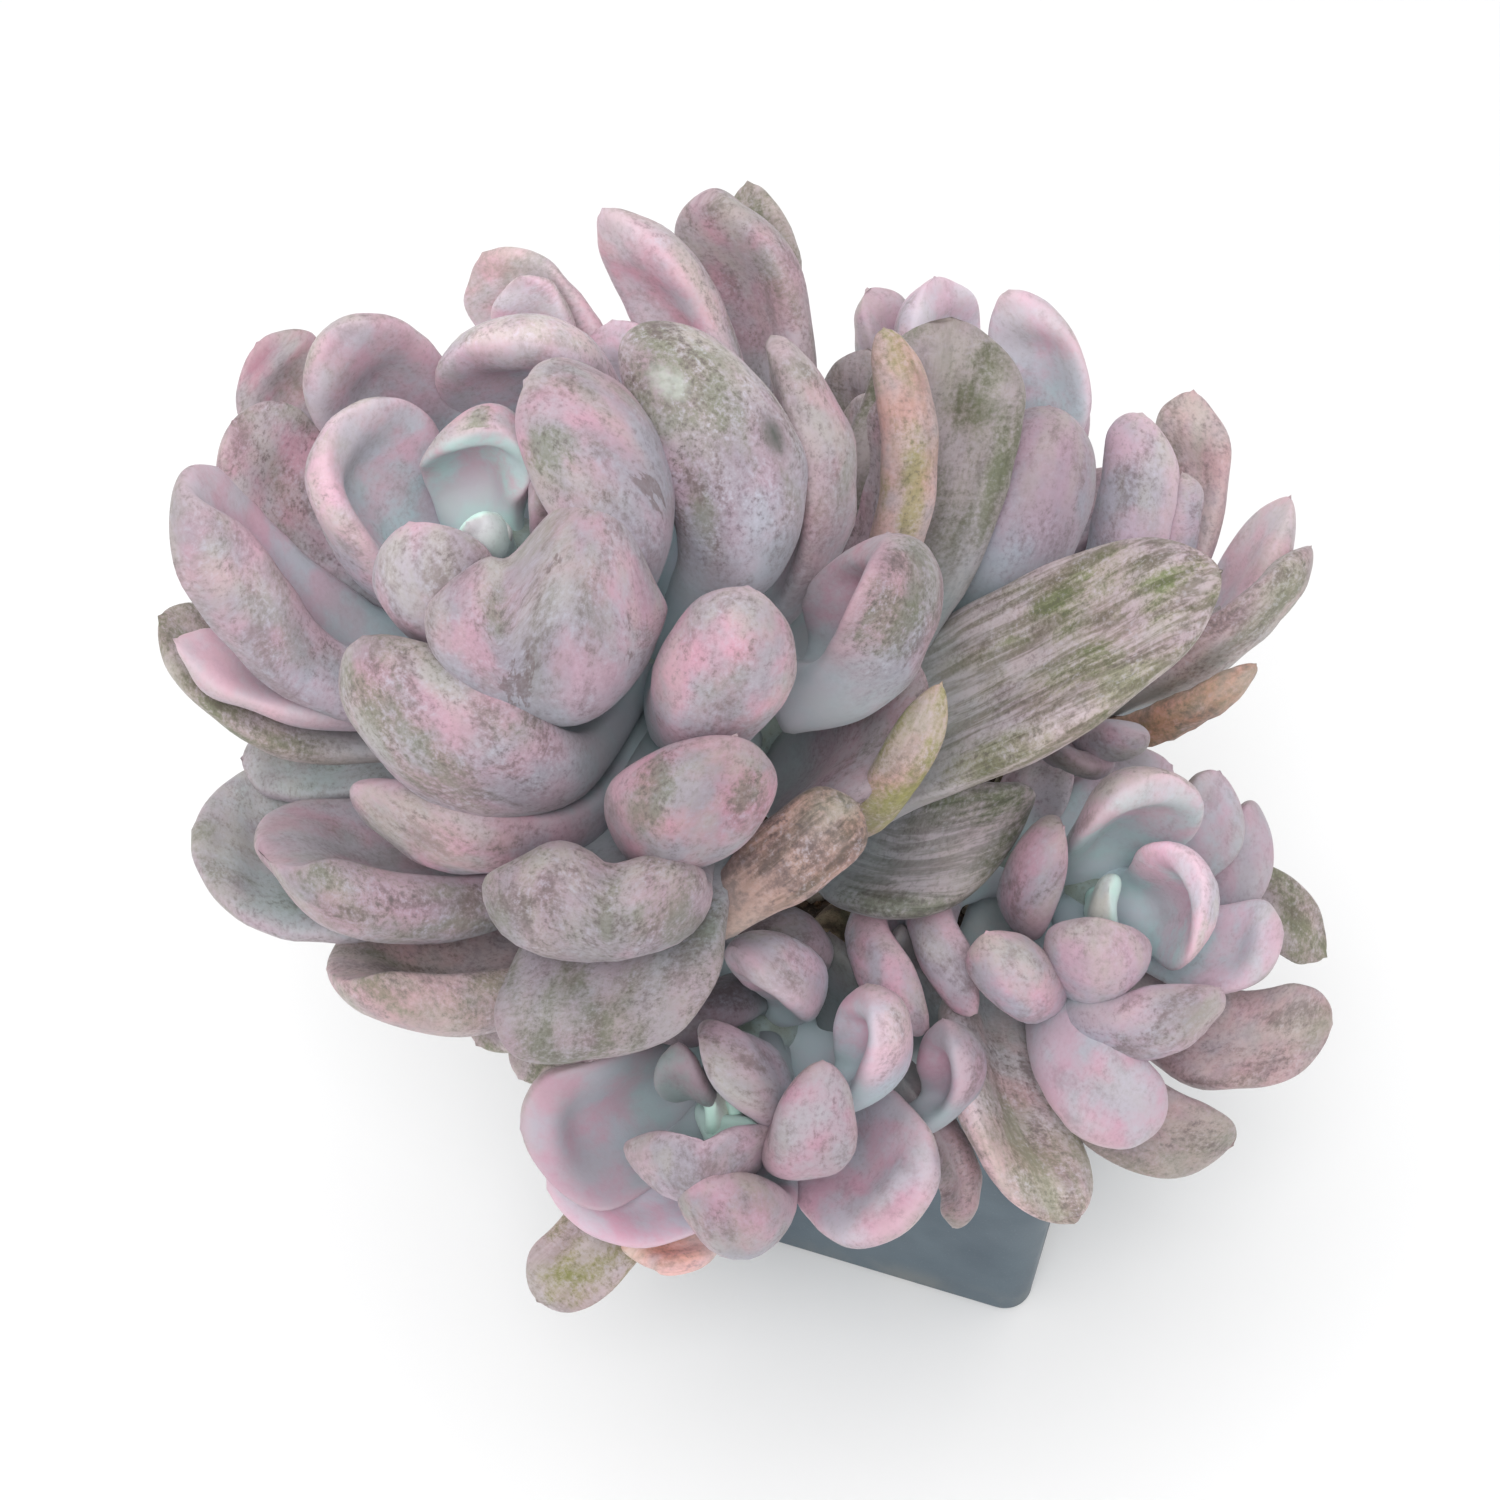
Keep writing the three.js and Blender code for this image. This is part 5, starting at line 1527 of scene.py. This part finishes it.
def pot_layers():
    """(height, side, corner round) up the outside, over the rim and down the inside."""
    top, floor, top_round = POT["height"], POT["floor"], POT["top_round"]
    outside, inside = 2 * POT["rim_out"], POT["top"] - 2 * POT["wall"] + 0.6
    # The underside, with a rounded lower edge
    layers = [(0, POT["base"] - 8, 3.5), (0, POT["base"] - 2.0, 4.7)]
    for a in np.linspace(0.2, 1, 4) * math.pi / 2:
        z = 0.95 * (1 - math.cos(a))
        layers.append((z, side_at(z) - 1.7 * (1 - math.sin(a)), round_at(z)))
    # The wall, the step under the rim and the rim's own wall
    step = top - POT["rim"]
    layers += [(z, side_at(z), round_at(z)) for z in np.linspace(6, step - 1.6, 12)]
    for rise, wider, rounder in ((-0.9, 0.25, 0.1), (-0.3, 1.3, 0.6), (0.3, outside - 0.1, 0.9)):
        layers.append((step + rise, side_at(step) + wider, round_at(step) + rounder))
    layers += [(z, side_at(z) + outside, round_at(z) + 1) for z in np.linspace(step + 1.2, top - 1.2, 5)]
    # Over the rim
    for drop, narrower, rounder in ((0.5, 0.15, 1), (0.1, 0.8, 0.8), (0, 1.4, 0.5)):
        layers.append((top - drop, POT["top"] + outside - narrower, top_round + rounder))
    layers += [(top, inside + 1.2, top_round - 0.9), (top - 0.2, inside + 0.4, top_round - 1.3)]
    # Down the inside to the floor
    low = floor + 2.5
    low_side = side_at(floor) - 2 * POT["wall"]
    for z in np.linspace(top - 1, low, 10):
        t = (z - low) / (top - low)
        layers.append((z, low_side + (inside - low_side) * t, round_at(floor) - 1.5 + 3.2 * t))
    return layers + [(floor + 0.8, low_side - 1, 3.6), (floor, low_side - 3, 3.4)]


print("layers of the pot:", len(pot_layers()))

# %% [markdown]
# ## Slate plastic
# The plastic is slate blue and half matt, a little cloudy, with dust and dried
# splashes near the rim and earth at the foot. One flat colour would look like a new
# pot. Each kind of dirt is a cloudy mask, limited to the heights where it gathers.

# %% Slate plastic


def plastic_material():
    material, tree, shader = new_material("slate plastic")
    at = object_spot(tree)
    height = put(tree, "SeparateXYZ", Vector=at).outputs[2]
    colour = blend(tree, patch_mask(tree, at, 22.0, 0.5, 0.16), srgb(84, 99, 109), srgb(68, 84, 96))
    dust = patch_mask(tree, at, 12.0, 0.42, 0.14)
    colour = laid_over(tree, colour, srgb(108, 122, 130), dust, 0.4)
    speck = use(tree, grains, Place=at, Size=0.45, Density=0.3)
    colour = laid_over(tree, colour, srgb(150, 162, 168), speck["Mask"], 0.18)
    splash = maths(tree, "MULTIPLY", ramp(tree, height, 60.0, 84.0), patch_mask(tree, at, 5.0, 0.4, 0.1))
    colour = laid_over(tree, colour, srgb(170, 168, 158), splash, 0.3)
    earth = maths(tree, "MULTIPLY", ramp(tree, height, 9.0, 0.0), dust)
    colour = laid_over(tree, colour, srgb(150, 144, 132), earth, 0.35)
    roughness = maths(tree, "MULTIPLY_ADD", dust, 0.16, 0.36)
    roughness = maths(tree, "MULTIPLY_ADD", speck["Relief"], 0.1, roughness)
    finish(tree, shader, colour, roughness, speck["Relief"], 0.25, 0.0001)
    return material


plastic = plastic_material()
print("plastic nodes:", len(plastic.node_tree.nodes))

# %% [markdown]
# ## Pot with drain holes
# Water leaves the pot through four round holes in its floor. They could be built into
# the faces, which is fiddly in a lofted floor. A cutter for each hole and a boolean
# give clean edges, and the cutters are removed when the cut mesh is kept.

# %% Pot
DRAIN_SIDES = 40
DRAIN_CUT = 12
DRAIN_MIDDLE = 1.5
SHARP_EDGE = math.radians(50)


def drain_cutter(sx, sy):
    x, y, z = as_the_pot_stands([[sx * POT["drain_at"], sy * POT["drain_at"], DRAIN_MIDDLE]])[0] * MM
    bpy.ops.mesh.primitive_cylinder_add(
        vertices=DRAIN_SIDES, radius=POT["drain"] * MM, depth=DRAIN_CUT * MM, location=(x, y, z)
    )
    return bpy.context.object


def make_pot():
    points, faces = loft(pot_layers())
    points = as_the_pot_stands(points)
    piece = new_piece("square_pot", "pot_plastic", "pot", plastic, points, faces, {})
    cutters = [drain_cutter(sx, sy) for sx, sy in ((1, 1), (-1, 1), (-1, -1), (1, -1))]
    for cutter in cutters:
        cut = piece.modifiers.new("drain", "BOOLEAN")
        cut.object, cut.operation, cut.solver = cutter, "DIFFERENCE", "EXACT"
    cut_piece = piece.evaluated_get(bpy.context.evaluated_depsgraph_get())
    cut_mesh = bpy.data.meshes.new_from_object(cut_piece)
    piece.modifiers.clear()
    piece.data = cut_mesh
    for cutter in cutters:
        bpy.data.objects.remove(cutter)
    cut_mesh.shade_smooth()
    cut_mesh.set_sharp_from_angle(angle=SHARP_EDGE)
    return piece


pot_piece = make_pot()
print("pot:", len(pot_piece.data.polygons), "faces")

# %% [markdown]
# ## Potting mix
# The soil is a loose dark mix that fills the pot to a little under its rim and heaps
# up unevenly. A flat lid would give it away through any gap between the leaves. Its
# sides follow the pot's inside, and its top is rings of points set to a wavy height.

# %% Soil
SOIL_GAP = 0.7
SOIL_RINGS = 34


def soil_height(x, y):
    return (
        SOIL_TOP
        + 0.9 * np.sin(0.21 * x + 0.6) * np.cos(0.17 * y - 0.4)
        + 0.5 * np.sin(0.43 * y + 0.31 * x + 1.1)
        - 0.0012 * (x * x + y * y)
    )


def soil_side(z):
    """The soil's width at a height, a small gap inside the pot's wall."""
    low = side_at(POT["floor"]) - 2 * POT["wall"]
    high = POT["top"] - 2 * POT["wall"] + 0.6
    t = (z - POT["floor"] - 2.5) / (POT["height"] + 1 - POT["floor"] - 2.5)
    return low + (high - low) * t - SOIL_GAP


def soil_material():
    material, tree, shader = new_material("potting mix")
    at = object_spot(tree)
    colour = blend(tree, patch_mask(tree, at, 2.2, 0.45, 0.08), srgb(52, 42, 34), srgb(92, 74, 58))
    speck = use(tree, grains, Place=at, Size=0.5, Density=0.4)
    colour = laid_over(tree, colour, srgb(140, 124, 104), speck["Mask"], 0.5)
    roughness = maths(tree, "MULTIPLY_ADD", speck["Relief"], 0.15, 0.8)
    finish(tree, shader, colour, roughness, speck["Relief"], 0.8, 0.0005)
    return material


def make_soil():
    layers = [(POT["floor"] + 0.35, soil_side(5.5) - 3, 4.2), (5.9, soil_side(5.5), 5)]
    layers += [(z, soil_side(z), 7) for z in np.linspace(20, SOIL_TOP - 2.5, 5)]
    points, faces = loft(layers, ends=(0,))
    edge = np.arange((len(layers) - 1) * RING, len(layers) * RING)
    rings = [points[edge] * (s, s, 0) for s in np.linspace(0.985, 0.03, SOIL_RINGS)]
    top = np.concatenate(rings)
    top[:, 2] = soil_height(top[:, 0], top[:, 1]) + 0.5 * waves(top, 3, 5.0, 6) + 0.35 * waves(top, 4, 1.8, 8)
    ids = np.concatenate([edge, len(points) + np.arange(len(top))]).reshape(-1, RING)
    faces += ring_quads(ids)
    faces.append(ids[-1].tolist())
    points = as_the_pot_stands(np.concatenate([points, top]))
    return new_piece("potting_mix", "potting_soil", "soil", soil_material(), points, faces, {})


soil_piece = make_soil()
print("soil:", len(soil_piece.data.polygons), "faces")

# %% [markdown]
# ## Crumbs of bark and pumice
# On the mix lie bits of bark and pale pumice, one to four millimetres across. Bump
# could hint at them, but they are stones with shadows of their own. One rounded
# stone with twenty sides, each split in four, is pressed, turned and scattered by
# chance, and a number on its points says which kind it is.

# %% Crumbs
CRUMBS = 520
STEM_CLEAR = 8.4
PUMICE_SHARE, PUMICE_GROWTH = 0.16, 1.7


def round_stone():
    """Points and faces of a ball with twenty sides, each split in four."""
    golden = (1 + 5**0.5) / 2
    corners = [np.roll((x, y, 0), k) for k in range(3) for y in (golden, -golden) for x in (-1, 1)]
    sides = [
        (0, 11, 5), (0, 5, 1), (0, 1, 7), (0, 7, 10), (0, 10, 11), (1, 5, 9), (5, 11, 4),
        (11, 10, 2), (10, 7, 6), (7, 1, 8), (3, 9, 4), (3, 4, 2), (3, 2, 6), (3, 6, 8),
        (3, 8, 9), (4, 9, 5), (2, 4, 11), (6, 2, 10), (8, 6, 7), (9, 8, 1),
    ]
    points, faces, known = [unit(corner) for corner in corners], [], {}

    def between(a, b):
        key = (min(a, b), max(a, b))
        if key not in known:
            known[key] = len(points)
            points.append(unit(points[a] + points[b]))
        return known[key]

    for a, b, c in sides:
        ab, bc, ca = between(a, b), between(b, c), between(c, a)
        faces += [(a, ab, ca), (b, bc, ab), (c, ca, bc), (ab, bc, ca)]
    return np.array(points), faces


def crumb_material():
    material, tree, shader = new_material("soil crumbs")
    at = object_spot(tree)
    crumb = put(tree, "Attribute", _attribute_name="crumb").outputs["Vector"]
    kind = put(tree, "SeparateXYZ", Vector=crumb).outputs[0]
    colour = blend(tree, ramp(tree, kind, 0.3, 0.45), srgb(60, 46, 36), srgb(122, 96, 72))
    colour = blend(tree, ramp(tree, kind, 0.68, 0.74), colour, srgb(196, 188, 174))
    speck = use(tree, grains, Place=at, Size=0.35, Density=0.4)
    colour = laid_over(tree, colour, srgb(84, 72, 60), speck["Mask"], 0.4)
    roughness = maths(tree, "MULTIPLY_ADD", speck["Relief"], 0.15, 0.78)
    finish(tree, shader, colour, roughness, speck["Relief"], 0.7, 0.0003)
    return material


def make_crumbs():
    draw = np.random.RandomState(12)
    stone, stone_faces = round_stone()
    half = soil_side(SOIL_TOP) / 2 - 2.2
    crumbs = []
    for _ in range(CRUMBS):
        x, y = draw.uniform(-half, half, 2)
        if math.hypot(x, y) < STEM_CLEAR:
            continue
        size = draw.uniform(0.5, 1.1) * (PUMICE_GROWTH if draw.rand() < PUMICE_SHARE else 1)
        uneven = 1 + 0.22 * draw.normal(size=(len(stone), 1)).clip(-1, 1)
        shape = stone * uneven * size * draw.uniform(0.6, 1.25, 3)
        turn = np.array(Euler(draw.uniform(0, 6.3, 3)).to_matrix())
        place = np.array([x, y, soil_height(x, y) + 0.35 * size])
        kind = np.full((len(stone), 3), draw.rand())
        crumbs.append((shape @ turn.T + place, stone_faces, {"crumb": kind}))
    points, faces, values = joined(crumbs)
    points = as_the_pot_stands(points)
    return new_piece("soil_crumbs", "potting_soil", "soil", crumb_material(), points, faces, values)


crumbs_piece = make_crumbs()
print("crumbs:", len(crumbs_piece.data.polygons), "faces")

# %% [markdown]
# ## Floor
# The plant stands on a plain pale floor that runs on out of sight. A curved backdrop
# is the studio's way, but from this height only the floor is seen, so that one large
# matt square does it.

# %% Floor
FLOOR_HALF = 6.0
FLOOR_WHITE = (0.97, 0.97, 0.97, 1)


def make_floor():
    mesh = bpy.data.meshes.new("floor")
    corners = [(x * FLOOR_HALF, y * FLOOR_HALF, 0) for x, y in ((-1, -1), (1, -1), (1, 1), (-1, 1))]
    mesh.from_pydata(corners, [], [(0, 1, 2, 3)])
    material, _, shader = new_material("pale floor")
    shader.inputs["Base Color"].default_value = FLOOR_WHITE
    shader.inputs["Roughness"].default_value = 0.9
    mesh.materials.append(material)
    floor = bpy.data.objects.new("floor", mesh)
    bpy.context.scene.collection.objects.link(floor)
    return floor


floor = make_floor()
print("floor:", [round(x, 2) for x in floor.dimensions], "metres")

# %% [markdown]
# ## Light
# The photograph has soft light from all round, with a little more from above and
# hardly any shadow. Many lamps could build that, but a bright even sky does most of
# it. A wide lamp above and a faint one at the left give the leaves their form, and a
# third one behind the viewer lifts the shade in the hollow leaves.

# %% Sky and lamps
SKY_STRENGTH = 0.84
LAMP_AIM = (-0.02, 0, 0.12)
# Each lamp's place and size in metres, and its power
LAMPS = {
    "lamp above": ((-0.15, 0.1, 0.95), 0.9, 1.2),
    "lamp left": ((-0.9, -0.5, 0.6), 0.8, 0.5),
    "lamp front": ((-0.1, -0.6, 1.0), 0.5, 3.8),
}


def make_sky(strength):
    world = bpy.data.worlds.new("even sky")
    world.use_nodes = True
    background = world.node_tree.nodes["Background"]
    background.inputs["Color"].default_value = (1, 1, 1, 1)
    background.inputs["Strength"].default_value = strength
    bpy.context.scene.world = world


def add_lamp(name, place, size, power):
    data = bpy.data.lights.new(name, "AREA")
    data.shape, data.size, data.energy = "DISK", size, power
    lamp = bpy.data.objects.new(name, data)
    lamp.location = place
    lamp.rotation_euler = (Vector(LAMP_AIM) - Vector(place)).to_track_quat("-Z", "Y").to_euler()
    bpy.context.scene.collection.objects.link(lamp)
    return lamp


bpy.context.scene.view_settings.view_transform = "Standard"
make_sky(SKY_STRENGTH)
lamps = [add_lamp(name, *values) for name, values in LAMPS.items()]
print("lamps:", len(lamps))
